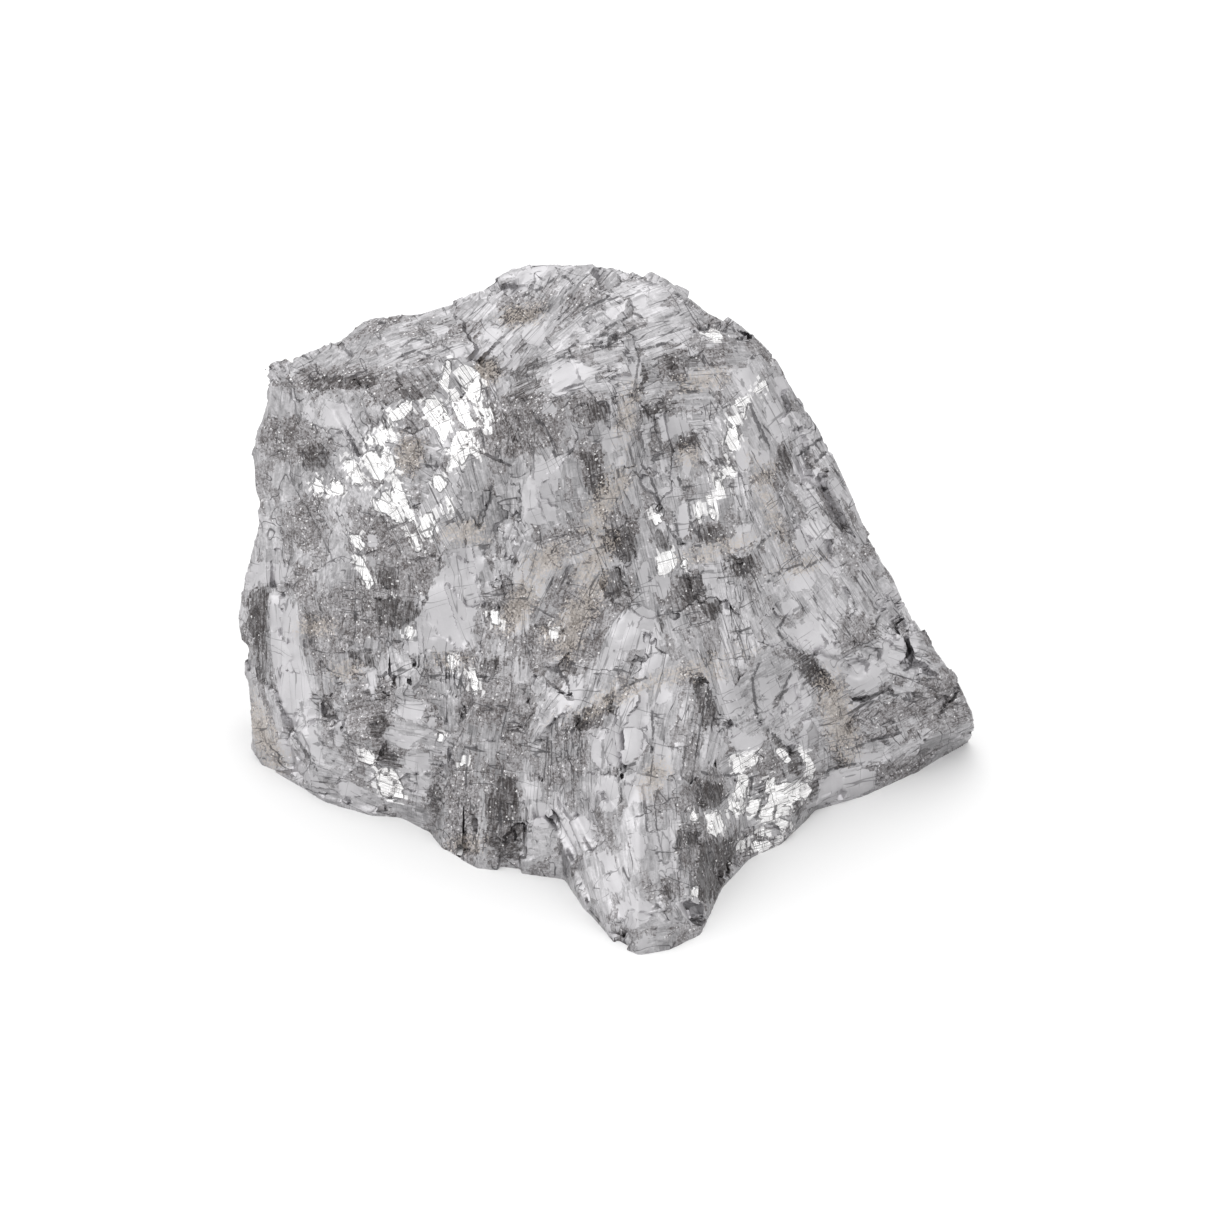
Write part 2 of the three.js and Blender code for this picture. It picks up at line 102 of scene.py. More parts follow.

# ------------------------------------------------------------------ shapes of the show side

# Places are in mm across (right) and up (away from the floor) from the middle of the lump, as its show
# side is looked at. A shape is its corners one after another, each as across, up.

# Mirror-bright cleavage faces whose reflection of the light is painted into their colour as near white.
PAINTED_REFLECTIONS = [
    (-14.4, 23.6, -13.6, 23.9, -12.7, 22.9, -12.6, 21.4,
     -12.8, 20.1, -13.5, 20.5, -14.2, 21.8, -14.8, 22.9),
    (-15.8, 24.3, -15.4, 24, -15.6, 22.8, -15.8, 21.5, -16.3, 21.8, -16, 23),
    (-15.4, 21.3, -14.8, 21.1, -13.9, 19.6, -13, 17.9, -13.7, 17.7, -14.4, 18.4, -15.3, 20),
    (-21.4, 19, -19.7, 20.3, -19.2, 20.3, -19.4, 19.5, -20.4, 18.6, -21.2, 18.3),
    (-17.8, 20.4, -16.8, 20.4, -15.9, 19.4, -15.5, 18.4, -16.1, 16.5, -16.7, 17.5, -17.3, 18, -17.9, 19),
    (-15.4, 15.8, -14.7, 17.2, -13.9, 17.3, -13.4, 16.2, -12.6, 15.3,
     -12.8, 14.6, -13.6, 15.5, -14.1, 14.4, -15.5, 13.6, -15.2, 14.9),
    (-22.9, 11, -21.4, 11.5, -20.8, 10.3, -20, 8.4, -20.8, 8.5, -21.9, 9.4, -23.1, 9.8),
    (-18, 9.1, -17.3, 9.2, -17.1, 8.1, -17.4, 7, -18, 6.9, -18.4, 7.7),
    (-24, 15, -23, 15.4, -22.2, 14.3, -22, 12.8, -22.7, 12.5, -23.5, 13.6),
    (-22.4, 16, -21.4, 15.3, -20.9, 13.8, -21.3, 13.3, -21.9, 14),
    (-25.7, 14.6, -24.8, 14, -24, 12.6, -24.4, 12.1, -25.4, 13.1),
    (-27.1, 12.4, -26.3, 12, -26.1, 11.2, -27, 11.1),
    (-29.4, 12.7, -28.7, 12.8, -27.9, 11.6, -28.3, 11.2, -29.3, 12),
    (-23.8, 16.4, -22.8, 16.9, -22, 17.6, -21.8, 16.6, -22.3, 16, -23.2, 16.1),
    (-21.7, 17.6, -21.4, 17.7, -20.9, 16.5, -21.2, 16.4),
    (-25.4, 7.1, -24.6, 7, -23.9, 6.1, -24.4, 5.7, -25.2, 6.6),
    (-25.1, 5, -24.4, 5, -23.1, 2.3, -23.5, 1.9, -24.5, 3.7),
    (-17.1, 12.8, -16.2, 13, -15.8, 12.1, -16.5, 11.4, -17, 12),
    (-15.8, 10.6, -15.3, 10.6, -15.2, 9.4, -15.6, 9.4),
    (-12.6, 19.5, -11.5, 19.5, -11.3, 18.8, -11.9, 18.5), (-12.1, 18.3, -11.7, 18, -11.6, 17.4, -12, 17.5),
    (-21.2, 12.8, -20.7, 12.8, -19.7, 10.1, -19, 8.6, -19.5, 8.5, -20.5, 10.6),
    (-19.3, 7.1, -18.9, 7.1, -18.5, 5.6, -18.8, 5.5),
    (12, 17.3, 12.8, 17.7, 12.9, 16.5, 12.8, 15.6, 11.6, 15.6),
    (11.9, 18.1, 12.3, 18.7, 13.6, 19.1, 13.2, 18.4, 12.4, 17.8),
    (14.6, 21.3, 15.4, 22.3, 15.8, 22, 15.1, 21.3), (12.5, 20.3, 13.9, 20.7, 13.8, 20.1, 12.8, 19.9),
    (11.4, 13.5, 12.3, 13.8, 12.5, 13.2, 11.6, 13), (10.7, 12.8, 11.2, 12.6, 11.6, 10.9, 11.1, 10.8),
    (9.8, 11.1, 10.4, 10.9, 10.4, 10.1, 9.9, 10.3), (10.2, 9.6, 10.6, 9.4, 10.6, 8.7, 10.3, 8.9),
    (8.9, 10.1, 9.3, 10.3, 9.3, 9, 8.9, 8.8), (4.4, 9.1, 5.1, 9.3, 5.3, 8.4, 4.7, 8.1),
    (5.2, 5.2, 6.4, 5.5, 6.8, 4.9, 6.8, 4.2, 6, 3.5, 5.2, 3.2, 5, 4.3),
    (7.3, 4.4, 7.7, 4.6, 7.9, 4, 7.4, 3.9), (9.4, 27.2, 10.8, 27.3, 11.4, 26.6, 10.4, 26.5),
    (12.4, -14.9, 13.1, -14.7, 13.9, -15.1, 13.7, -15.7, 13.2, -16.3, 12.6, -16.1),
    (13.5, -14.7, 14.8, -14.6, 14.8, -15.4, 14.1, -15.7),
    (13.2, -16.6, 13.8, -16.6, 13.6, -18.8, 12.9, -18.8, 12.7, -18.3),
    (16.5, -17.7, 17.9, -17.4, 19.7, -17.5, 20.1, -18.1, 19.7, -18.9,
     18.6, -19.1, 18, -19.9, 16.9, -20.1, 15.9, -19.7, 16.2, -18.4),
    (19.3, -14.3, 19.9, -14.7, 20.4, -15.9, 20.2, -16.9, 19.8, -16.7, 19.8, -15.5, 19.2, -14.8),
    (16.8, -14, 17.4, -14.2, 18.1, -15.2, 17.7, -15.2, 16.9, -14.4),
    (15.9, -17.1, 16.5, -17, 16.1, -18.3, 15.6, -18.4), (14.1, -19.2, 15.1, -19, 14.6, -20.7, 13.8, -20.6),
    (12.1, -19.4, 13.7, -19.3, 13.5, -20.4, 12.8, -20.3, 12, -19.9),
    (15.3, -20.2, 15.9, -19.4, 16.5, -20.6, 16.1, -21.3, 15.2, -21.2),
    (16.9, -20.9, 18.1, -21.3, 18.4, -21.9, 17.4, -22, 16.8, -21.4),
    (14.6, -23.2, 15.9, -23.1, 16.2, -23.8, 14.9, -24),
    (12.8, -23.3, 13.6, -23.1, 13.5, -23.8, 12.8, -23.9),
    (15.3, -22.1, 16.2, -22.2, 16.1, -22.6, 15.3, -22.5), (16.8, -22.6, 17.4, -22.6, 17.3, -23, 16.8, -23),
    (9.8, -20.6, 11, -20.3, 11.4, -21.6, 10.8, -22.6, 10, -22),
    (8.4, -20.3, 9, -20.5, 8.8, -21.1, 8.3, -20.9),
    (-24.1, -14.3, -23.6, -14.3, -22.8, -15.5, -23.4, -15.6),
    (-22.7, -16.1, -21.8, -15.9, -21.1, -17.6, -20.9, -18.8, -22, -18.6, -22.5, -17.6),
    (-21.5, -15.9, -21, -16.1, -20.2, -18.1, -20.3, -18.9, -20.9, -18.7),
    (-19.6, -1.9, -19.2, -2.1, -19.4, -3, -19.8, -3), (-11.4, -0.5, -10.7, -0.5, -10.6, -1.7, -11.2, -1.5),
    (-15.8, -4.8, -15.2, -4.9, -14.9, -6.4, -15.4, -6),
    (-13.6, -6.4, -13.1, -6.4, -12.8, -8.2, -13.2, -8.2), (-5.5, -2.1, -4.8, -2.1, -4.9, -3, -5.5, -3),
    (-16.5, -12.6, -16.2, -12.6, -16.4, -13.3, -16.7, -13.2),
    (-14.2, -14.3, -13.9, -14.3, -14, -15.5, -14.4, -15.6),
    (8.4, -27.8, 8.9, -27.8, 8.8, -28.5, 8.4, -28.4),
]

# Flat plates of clean metal.
PLATES = [
    (-8.5, 11.1, -8, 12.6, -6.9, 14, -5.7, 14.8, -4.4, 15, -4.3, 13.7,
     -4.9, 12.1, -5, 10.1, -4.8, 8.4, -6.6, 8.2, -8.6, 8.2, -8.2, 9.8),
    (-15.5, 5.6, -13, 6.2, -12, 4.9, -12.6, 3.2, -12.8, 0.7, -13.3, -2.5, -14.3, -4.7, -16, -4.4,
     -18, -4.7, -20.3, -4.7, -20.2, -3.8, -19.2, -2, -18, 0, -17.4, 1.7, -16.8, 3.2, -15.5, 4.2),
    (-33.1, 1.7, -30.8, 0.7, -30.3, -3.3, -30, -5.2, -29.2, -8.2,
     -28.4, -12.7, -27.9, -15.6, -30.3, -13.6, -32.3, -9.2, -33.1, -5.2, -33.5, -1.3),
    (-36.3, 3.2, -34.1, 4.6, -31.1, 3.9, -31.5, 2.5, -34.1, 2.5, -35.7, 1.5),
    (-31.8, -12.7, -29.4, -16.3, -27.4, -18.1, -30.3, -17.1, -32.8, -13.6),
    (-22.1, -12.7, -21.3, -11.9, -20.1, -12.8, -18, -12.2, -17.3, -10.5,
     -16.8, -10.8, -17.2, -12.4, -18.7, -13.3, -19.7, -14, -21.3, -13.5),
    (-21.3, -10.4, -20.3, -9.5, -19, -9.2, -17.8, -9.4, -18.1, -10.6, -19, -11.4, -20.1, -11.1),
    (-26.9, -9.4, -26.2, -10, -25.9, -12, -26.2, -13.7, -26.8, -13.9, -26.7, -11.4),
    (-23.6, -6.4, -23, -6, -22.8, -8.7, -23.1, -9.2, -23.6, -8.2),
    (-26.7, -17.4, -25.4, -17.1, -24.2, -17.8, -24.4, -18.7, -25.9, -18.8, -26.8, -18.3),
    (-20, -14.6, -17.5, -14.3, -17.5, -16.1, -18.5, -16.6, -19.9, -15.6),
    (-19.5, -17.6, -18, -17.1, -18, -18.6, -19.3, -18.8),
    (-30.1, 20.3, -27.9, 20.5, -25.4, 20, -25.1, 18, -25.9, 17.3, -27.9, 18, -30, 18.7),
    (-5.6, 24.1, -3.2, 24.3, -1.1, 23.7, -1.7, 22.6, -2.9, 21.8, -4.4, 20.9, -5.4, 20.8, -5.6, 22.4),
    (-15.7, 25.9, -12.6, 25.9, -12.8, 24.6, -14, 24.1, -15.3, 24.6),
    (-10.3, 25.1, -9.1, 25.2, -8.5, 24.4, -9.1, 23.4, -10.3, 23.6),
    (-23.7, 7.1, -22.9, 7.3, -22.5, 6.6, -22.7, 5.8, -23.6, 6),
    (-27.5, 4.2, -26.7, 4.3, -26.4, 3.7, -26.9, 3.1, -27.4, 3.4),
    (-9.4, 2.7, -8.6, 4.2, -7.9, 5, -7.2, 4.6, -7.6, 3.5, -8.6, 2.2, -9.1, 1.7),
    (-7.1, 2.2, -6.1, 2.4, -5.9, 1.5, -6.5, 0.5, -7.1, 1.1),
    (-6.4, 20, -5.4, 20.5, -5, 19.5, -5.4, 18.9, -6.3, 19.1),
    (5.6, 18, 6.9, 18.9, 7.9, 18.6, 8.1, 17.4, 6.7, 16.9, 5.7, 16.2, 5.1, 16.9),
    (4.9, 19, 5.5, 19, 5.6, 18, 5, 17.8), (0.7, 14.8, 1.8, 15.1, 1.8, 13.9, 1, 13.8),
    (-0.5, 17.5, 1.5, 17.7, 2.3, 16.5, 1.1, 15.3, -0.3, 15.3),
    (3.5, 18, 4.2, 18.2, 4.3, 16.5, 3.9, 16, 3.4, 16.9),
    (3.4, 4.6, 4.1, 4.6, 4.3, 2, 3.9, 0.6, 3.1, 1, 3, 2.9),
    (-0.1, -3, 0.9, -1.4, 2, -0.3, 3.5, 0.3, 4.9, -0.7, 5.3, -3, 4.7, -4, 1.5, -4.3, -0.2, -4.1),
    (4.5, 3.2, 6, 3.4, 6.2, 1.7, 5.4, 0.7, 4.6, 1),
    (9.5, 4.2, 10.4, 4.4, 11, 3.9, 11, 2.9, 10.4, 1.9, 9.6, 2.4),
    (7, 10.1, 8, 10.6, 8.2, 8.6, 7.9, 7.1, 7.4, 6.9, 6.9, 8.4),
    (10, 17.7, 10.8, 16.9, 11.2, 15, 10.5, 14.5, 9.8, 16.5), (4.7, 11.6, 6.4, 12.1, 6.5, 11.1, 5.4, 10.7),
    (7.3, 15, 8, 15.2, 8.4, 14, 8, 12.8, 7.5, 13.5), (5.3, 14.7, 5.8, 14.5, 5.9, 13, 5.4, 13.2),
    (-4.4, -0.8, -3.9, -0.2, -3.6, -1.1, -4, -2.1, -4.4, -1.9),
    (15.5, 20.1, 17.1, 20.4, 18.3, 19.2, 19, 18.1, 18, 16.9, 17, 16.2, 16, 17.5),
    (12.8, 23.4, 14.1, 23.7, 14.8, 22.6, 14.6, 21, 13.6, 20.5, 12.9, 21.4),
    (12.7, 16.5, 13.9, 16.8, 14.1, 15, 13.6, 13, 12.8, 13.5),
    (12.1, 6.6, 13.1, 8, 14.6, 8.4, 15.2, 6.8, 14.3, 5.4, 13, 4.9, 12.3, 5.5),
    (18.4, 8.1, 20.1, 8.8, 21.5, 8.4, 22.2, 6.8, 20.6, 5.8, 19.1, 5.4, 18.6, 6.6),
    (19.1, 13.3, 20.9, 13.7, 21.4, 12.4, 20.3, 11.4, 19.3, 11.8),
    (18.8, 17.5, 20.3, 17.7, 20.6, 16.7, 19.1, 15.5, 18.6, 16.3),
    (16.6, 22.6, 17.9, 22.6, 18.1, 21.3, 16.9, 20.8), (14.6, 15.3, 15.9, 15.5, 16.1, 14.3, 14.8, 13.7),
    (17.1, 3.2, 19.1, 3.9, 20.6, 3.4, 20.3, 1.7, 18.1, 1.5),
    (20.9, 4.4, 22.5, 4.8, 23.5, 3.7, 22.5, 3, 21.1, 3.3),
    (21.8, 12.6, 22.8, 12.8, 23.3, 11.4, 22.8, 10.6, 22, 11.4),
    (-4.9, -9.2, -4.5, -7.9, -3.4, -7, -2.3, -6.8, -2.2, -8.4, -2.7, -9.9, -4.1, -10.9, -4.9, -10.8),
    (1.3, -9.7, 2.5, -8.6, 4, -8, 4.1, -11.2, 4.3, -13.3, 3.3, -14.8,
     1.1, -15.7, -0.4, -16.2, -1.5, -15.3, -1.5, -13.3, -0.7, -12.2, 0.5, -11.4),
    (-0.7, -16.8, 1, -16.6, 1.3, -19.1, 0.5, -20.3, -0.9, -19.9, -1.5, -18.1),
    (4.8, -12.5, 5.6, -13.1, 6.4, -14.3, 6.4, -16.3, 4.9, -16.3, 4.6, -14.6),
    (1.8, -16.6, 3.5, -16.3, 4.3, -18.1, 3.8, -19.1, 2.3, -19.3, 1.7, -18.1),
    (-4.8, -20.3, -2.9, -20.3, -1.5, -21.1, -0.7, -22.2, -1.7, -23.2, -3.2, -23.2, -4.2, -24, -4.6, -22.5),
    (-7.8, -19.4, -6.1, -19.3, -5.4, -20.6, -5.8, -21.8, -7.4, -21.5, -8.1, -20.6),
    (-5.4, -18.1, -4.6, -18.1, -4.3, -20.3, -5, -20.3),
    (-8.5, -17.3, -6.8, -17.3, -6.4, -18.7, -7.8, -19.1), (4.5, -7.7, 5.9, -7.4, 6.2, -9, 4.8, -9.7),
    (3.5, -4.7, 4.7, -4.4, 5.7, -4.7, 5.4, -6, 4.1, -6.7),
    (-0.4, -4.4, 0.8, -4.4, 1.1, -5.7, 0.5, -6.4, -0.4, -6),
    (11, -7, 12.9, -7.6, 13.6, -9.4, 13.5, -10.8, 11.8, -10.8, 11, -9),
    (11.9, -11.8, 12.9, -11.8, 14.2, -12.9, 15.3, -12.2,
     15.8, -13.1, 14.6, -14.4, 12.8, -14.1, 11.9, -13.1),
    (14.9, -7, 16.8, -6.6, 17.2, -8.4, 16.5, -9.1, 15.1, -8.9),
    (14.9, -9.3, 16.4, -9.4, 16.5, -10.9, 15.7, -11.4, 15, -10.5),
    (18.5, -5.9, 19.2, -7.2, 20.4, -9, 19.7, -10,
     19.1, -11.2, 18.1, -11.9, 16.9, -10.8, 17.1, -9.2, 17.7, -8.2),
    (19.6, -11, 20.8, -11.2, 21.2, -12, 20.5, -13.4, 19.5, -14.3, 18.8, -13.6, 19.1, -12.3),
    (17, -11.8, 18, -12.2, 18.5, -13.3, 17.9, -13.7, 16.9, -12.7),
    (17.2, -2.2, 19.1, -1.7, 20.8, -0.6, 21.4, -1.9, 22.4, -3.1,
     23.1, -4.4, 23.2, -6.4, 22.2, -7, 21.4, -5.6, 20.2, -4.5, 18.8, -3.8),
    (24, -6, 25.8, -5.2, 27.2, -6, 27, -7.7, 25.6, -8.2, 24.2, -8.5, 23.6, -7.2),
    (21.1, -16.9, 24, -15.9, 26.5, -16.2, 26.6, -17.8, 24, -18.8, 21.5, -19.4, 20.5, -19.7, 20.9, -18.1),
    (27.4, -2.3, 28.8, -1.9, 29.4, -3.8, 29.5, -5.4, 28, -6, 27, -4.7),
    (29.8, -1.5, 30.3, -1.3, 30.8, -3.3, 30.6, -4.3, 29.9, -4.4),
    (24.6, -14.5, 27.8, -14.1, 28, -15.3, 24.8, -15.5), (16.9, 0.4, 18.8, 0.7, 19.1, -0.1, 17.6, -1.3),
    (-8.3, 27.7, -6.3, 27.9, -6.1, 26.9, -6.4, 25.9, -7.6, 25.7, -8.4, 26.6),
    (-12, 27.6, -10.7, 27.6, -10.5, 26.4, -11.6, 26.1, -12.2, 26.7),
    (1.1, 24, 3.3, 24.2, 3.4, 22.4, 2.8, 21.6, 1.3, 21.7),
    (2.3, 30.3, 3.1, 31.8, 3.9, 31.3, 4.1, 29.4, 2.9, 29.2),
    (-0.5, 29.4, 1.5, 29.9, 2.3, 29.6, 1.8, 28.6, -0.2, 28.2),
    (-3, 26.9, -0.7, 27.2, -0.9, 26.4, -2.7, 26.2),
    (-9.1, 32.8, -7.1, 33.9, -5.1, 34.1, -5.6, 33.1, -7.6, 32.1, -8.8, 31.9),
    (-5.4, 34.3, -3.7, 34.3, -2.9, 33.5, -4.6, 33.1), (-10.1, 31.8, -8.1, 32.5, -7.8, 31.5, -9.8, 30.7),
    (-15, 30.3, -13.5, 30.9, -13.3, 30.3, -14.7, 29.8), (-17.3, 27.9, -15.5, 27.8, -15.7, 26.8, -17, 26.8),
    (-1.3, -24.3, 0.5, -24, 0.9, -25.6, -0.5, -26),
    (-0.3, -26.6, 1.1, -26.2, 1.7, -27.4, 1.1, -28.4, -0.1, -28),
    (1.1, -29.2, 3.1, -28.8, 4.4, -29.5, 4.3, -30.9, 2.5, -31.9, 0.9, -30.9),
    (2.7, -33.1, 4.1, -32.4, 4.5, -33, 4.3, -33.9, 3.1, -34),
    (5, -25.8, 6, -24.8, 6.8, -25.2, 6.7, -26.4, 5.4, -26.6),
    (6.7, -29.2, 8.2, -29, 8.9, -30.1, 8.2, -30.9, 7.2, -30.1),
    (-0.4, -31.4, 0.8, -31.1, 1.1, -32.7, 0.3, -33.4),
    (2, -22.4, 3.6, -22.2, 4.1, -23.5, 3.3, -24.8, 2.3, -23.8),
    (4.5, -22.2, 6.2, -21.8, 6.9, -22.8, 6.4, -24, 4.7, -24),
]

# Places where the deep ledges of the solid are pressed nearly flat.
LEVELLED = [
    (-25.2, -3.5, -18.1, -3.5, -18.1, -8.6, -25.2, -8.6),
    (-13.1, 12.8, -8.6, 12.8, -8.6, 6.1, -13.1, 6.1),
    (-6.1, -6, -0.3, -6, -0.3, -11.6, -6.1, -11.6),
    (-16.1, -16.6, -13.1, -16.6, -13.1, -24.2, -16.1, -24.2),
    (-5.4, 31.9, -2.5, 31.9, -2.5, 28.8, -5.4, 28.8),
    (-11.2, -19.7, -8.2, -19.7, -8.2, -24.6, -11.2, -24.6),
]

# Deep places of the break, where shade is painted into the colour.
HOLLOWS_WITH_PAINTED_SHADE = [
    (15.7, -12.3, 17.8, -13.7, 18.9, -14.7, 19, -16.7, 18.4, -16.8, 17.9, -15.6, 16.9, -13.9),
    (19.3, -4.6, 20.2, -5, 22, -6.7, 22.6, -8.3, 21.6, -8.5, 20.7, -8.2, 20, -7, 19.2, -6.6, 19.1, -5.4),
    (21.8, -15.5, 22.8, -14.7, 23, -13.6, 23.3, -14.9, 24, -15.5, 24, -15.9, 22, -15.9),
    (8.3, -7, 9.4, -7.2, 9.6, -9.2, 9.8, -11.4, 9.4, -11.7, 9.1, -9.4, 8.4, -8),
    (9.9, -9.5, 10.6, -9.4, 10.9, -11.6, 9.9, -11.7), (8.7, -12.8, 9.3, -12.7, 9.4, -13.9, 8.9, -14.3),
    (20.1, -17.7, 20.8, -17.4, 21, -18.1, 20.1, -19.1, 19.8, -18.8),
    (9.2, -4.4, 10.5, -4.4, 10.4, -5.4, 9.5, -5.4),
    (9.4, 0.4, 11.1, 0.4, 10.9, -0.9, 10.2, -1.4, 9.5, -0.7),
    (-10.3, 29.4, -9.1, 30, -8.2, 29.2, -8, 28.4, -9.6, 28.1, -10.4, 28.6),
    (-12.7, 24.4, -10.8, 24.6, -10.6, 23, -12.6, 23),
    (-9.4, 23.2, -7.1, 24.4, -6.1, 24.1, -7.6, 22.6, -6.6, 22.6, -7.4, 20.7, -9.8, 20.7, -9.1, 21.9),
    (3.3, 24, 3.8, 24, 3.7, 22.6, 3.3, 21.5, 3, 21.8), (5.8, 24.7, 6.4, 24.9, 7, 23.2, 6.6, 22.6, 6, 23.4),
    (7.6, 24.7, 9, 24.6, 9, 23.6, 7.8, 23.4), (12.6, 4.9, 14.6, 5, 14.8, 4.3, 13.9, 3.2, 12.9, 3.4),
    (17.1, 15.5, 18.1, 15.5, 18.1, 13.5, 17.1, 13.2), (9.2, 7.9, 11.4, 7.8, 11.4, 6.6, 10, 6.1, 9.2, 6.6),
    (4.8, 7.6, 6, 7.6, 6.1, 5.4, 5.3, 5.8), (4.6, 19, 4.9, 19, 5, 17.5, 4.7, 17.5),
    (3.3, 19.3, 5.2, 19.7, 6.7, 20.2, 6.7, 19.7, 4.7, 19.1, 3.3, 18.9),
    (9.4, -23.2, 10.8, -23, 10.8, -25.2, 10.5, -27, 10.2, -29, 9.2, -28.6, 9, -25.8),
    (11, -23.2, 12.6, -22.8, 12.4, -24.4, 11.9, -26.4, 11, -29, 10.5, -28.6, 10.9, -26.2),
    (8.8, -18.1, 10, -17.3, 11.4, -17.9, 11.4, -19.3, 10.6, -19.9, 9.2, -19.7),
    (6.8, -22.4, 7.4, -22.2, 7.3, -23.6, 6.8, -24.3),
    (5.3, -27, 5.8, -27.2, 6.6, -28.8, 6, -28.8), (7.6, -22.2, 8.9, -22.4, 8.8, -23.4, 7.8, -23.2),
    (8.2, -27, 8.9, -26.8, 9.1, -28.6, 8.4, -28.2), (12.2, -22.2, 12.7, -22.4, 12.4, -23.6, 11.8, -23.5),
    (-10.9, -16.9, -9.1, -16.9, -8.8, -19.1, -8.4, -22,
     -8.6, -24.8, -10.6, -24.8, -11.8, -23, -12.1, -19.6),
    (-12.5, -5.5, -11, -5.3, -10.9, -6.4, -12.3, -6.7), (-4.1, -5, -3, -5.6, -3.4, -6.4, -4.1, -6.1),
    (-3, -10.7, -1.7, -9.9, -0.4, -10.4, -0.3, -11.2, -1.7, -12, -3, -12),
    (-0.1, -9.2, 0.7, -9, 0.8, -10, 0.2, -10.4), (5.1, -1.3, 5.5, -1.3, 5.5, -2.4, 5.2, -2.4),
    (-35.1, 1.5, -33.7, 1.9, -33.5, -1.3, -33.7, -4.1, -34.7, -4.3, -35.3, -1.8),
    (-34.6, -4.7, -33.5, -4.7, -33.7, -7.4, -34.3, -7.6),
    (-23.2, -10.7, -21.9, -10.4, -21.8, -12, -22.6, -12.9, -23.4, -12.4),
    (-22.9, -14.3, -20.7, -14.5, -20.6, -15.9, -21.9, -15.7),
    (-22.8, 0.7, -20.5, 0.9, -18.3, -0.3, -19.3, -1.5, -21, -2.1, -22.6, -1.5),
    (-25.4, -4.4, -23.2, -4.4, -22.8, -5.7, -24.9, -6),
    (-17.4, -17.6, -16.4, -18.1, -16.3, -20.3, -17.1, -20.5, -17.5, -19.1),
    (-30, 15.3, -28.2, 15.9, -27.4, 15, -27.6, 13.9, -29.9, 13.5),
    (-29.5, 22.4, -28.2, 22.6, -27.9, 21.6, -29.2, 21.4),
    (-20.7, 21.4, -18.7, 21.8, -18.4, 20.9, -20.3, 20.5),
    (-27.8, 22.6, -23.2, 22.8, -23.2, 21.8, -27.4, 21.6), (-22.6, 3.5, -20.9, 3.5, -20.7, 1.9, -22.2, 1.7),
    (-2.5, 15, -1.1, 15.1, -0.7, 13.7, -1.9, 13.3),
    (-1.8, 13.1, -0.3, 13.1, 0.1, 11.6, -0.7, 10.6, -1.9, 11.6),
    (-0.3, 7.6, 2.3, 7.8, 3.1, 6.1, 2.3, 4.4, -0.1, 5.4),
    (-0.5, 3.7, 1.1, 3.9, 1.9, 1.7, 0.7, 0.5, -0.5, 1.5), (6.9, 3, 9.2, 3, 9.7, 1.4, 8.2, 0.7, 7, 1.1),
    (-1.7, 20.1, -0.1, 20.1, -0.1, 18.5, -1.5, 18.3), (6.8, 16.7, 9, 17.1, 9.2, 15.9, 7, 15.7),
]

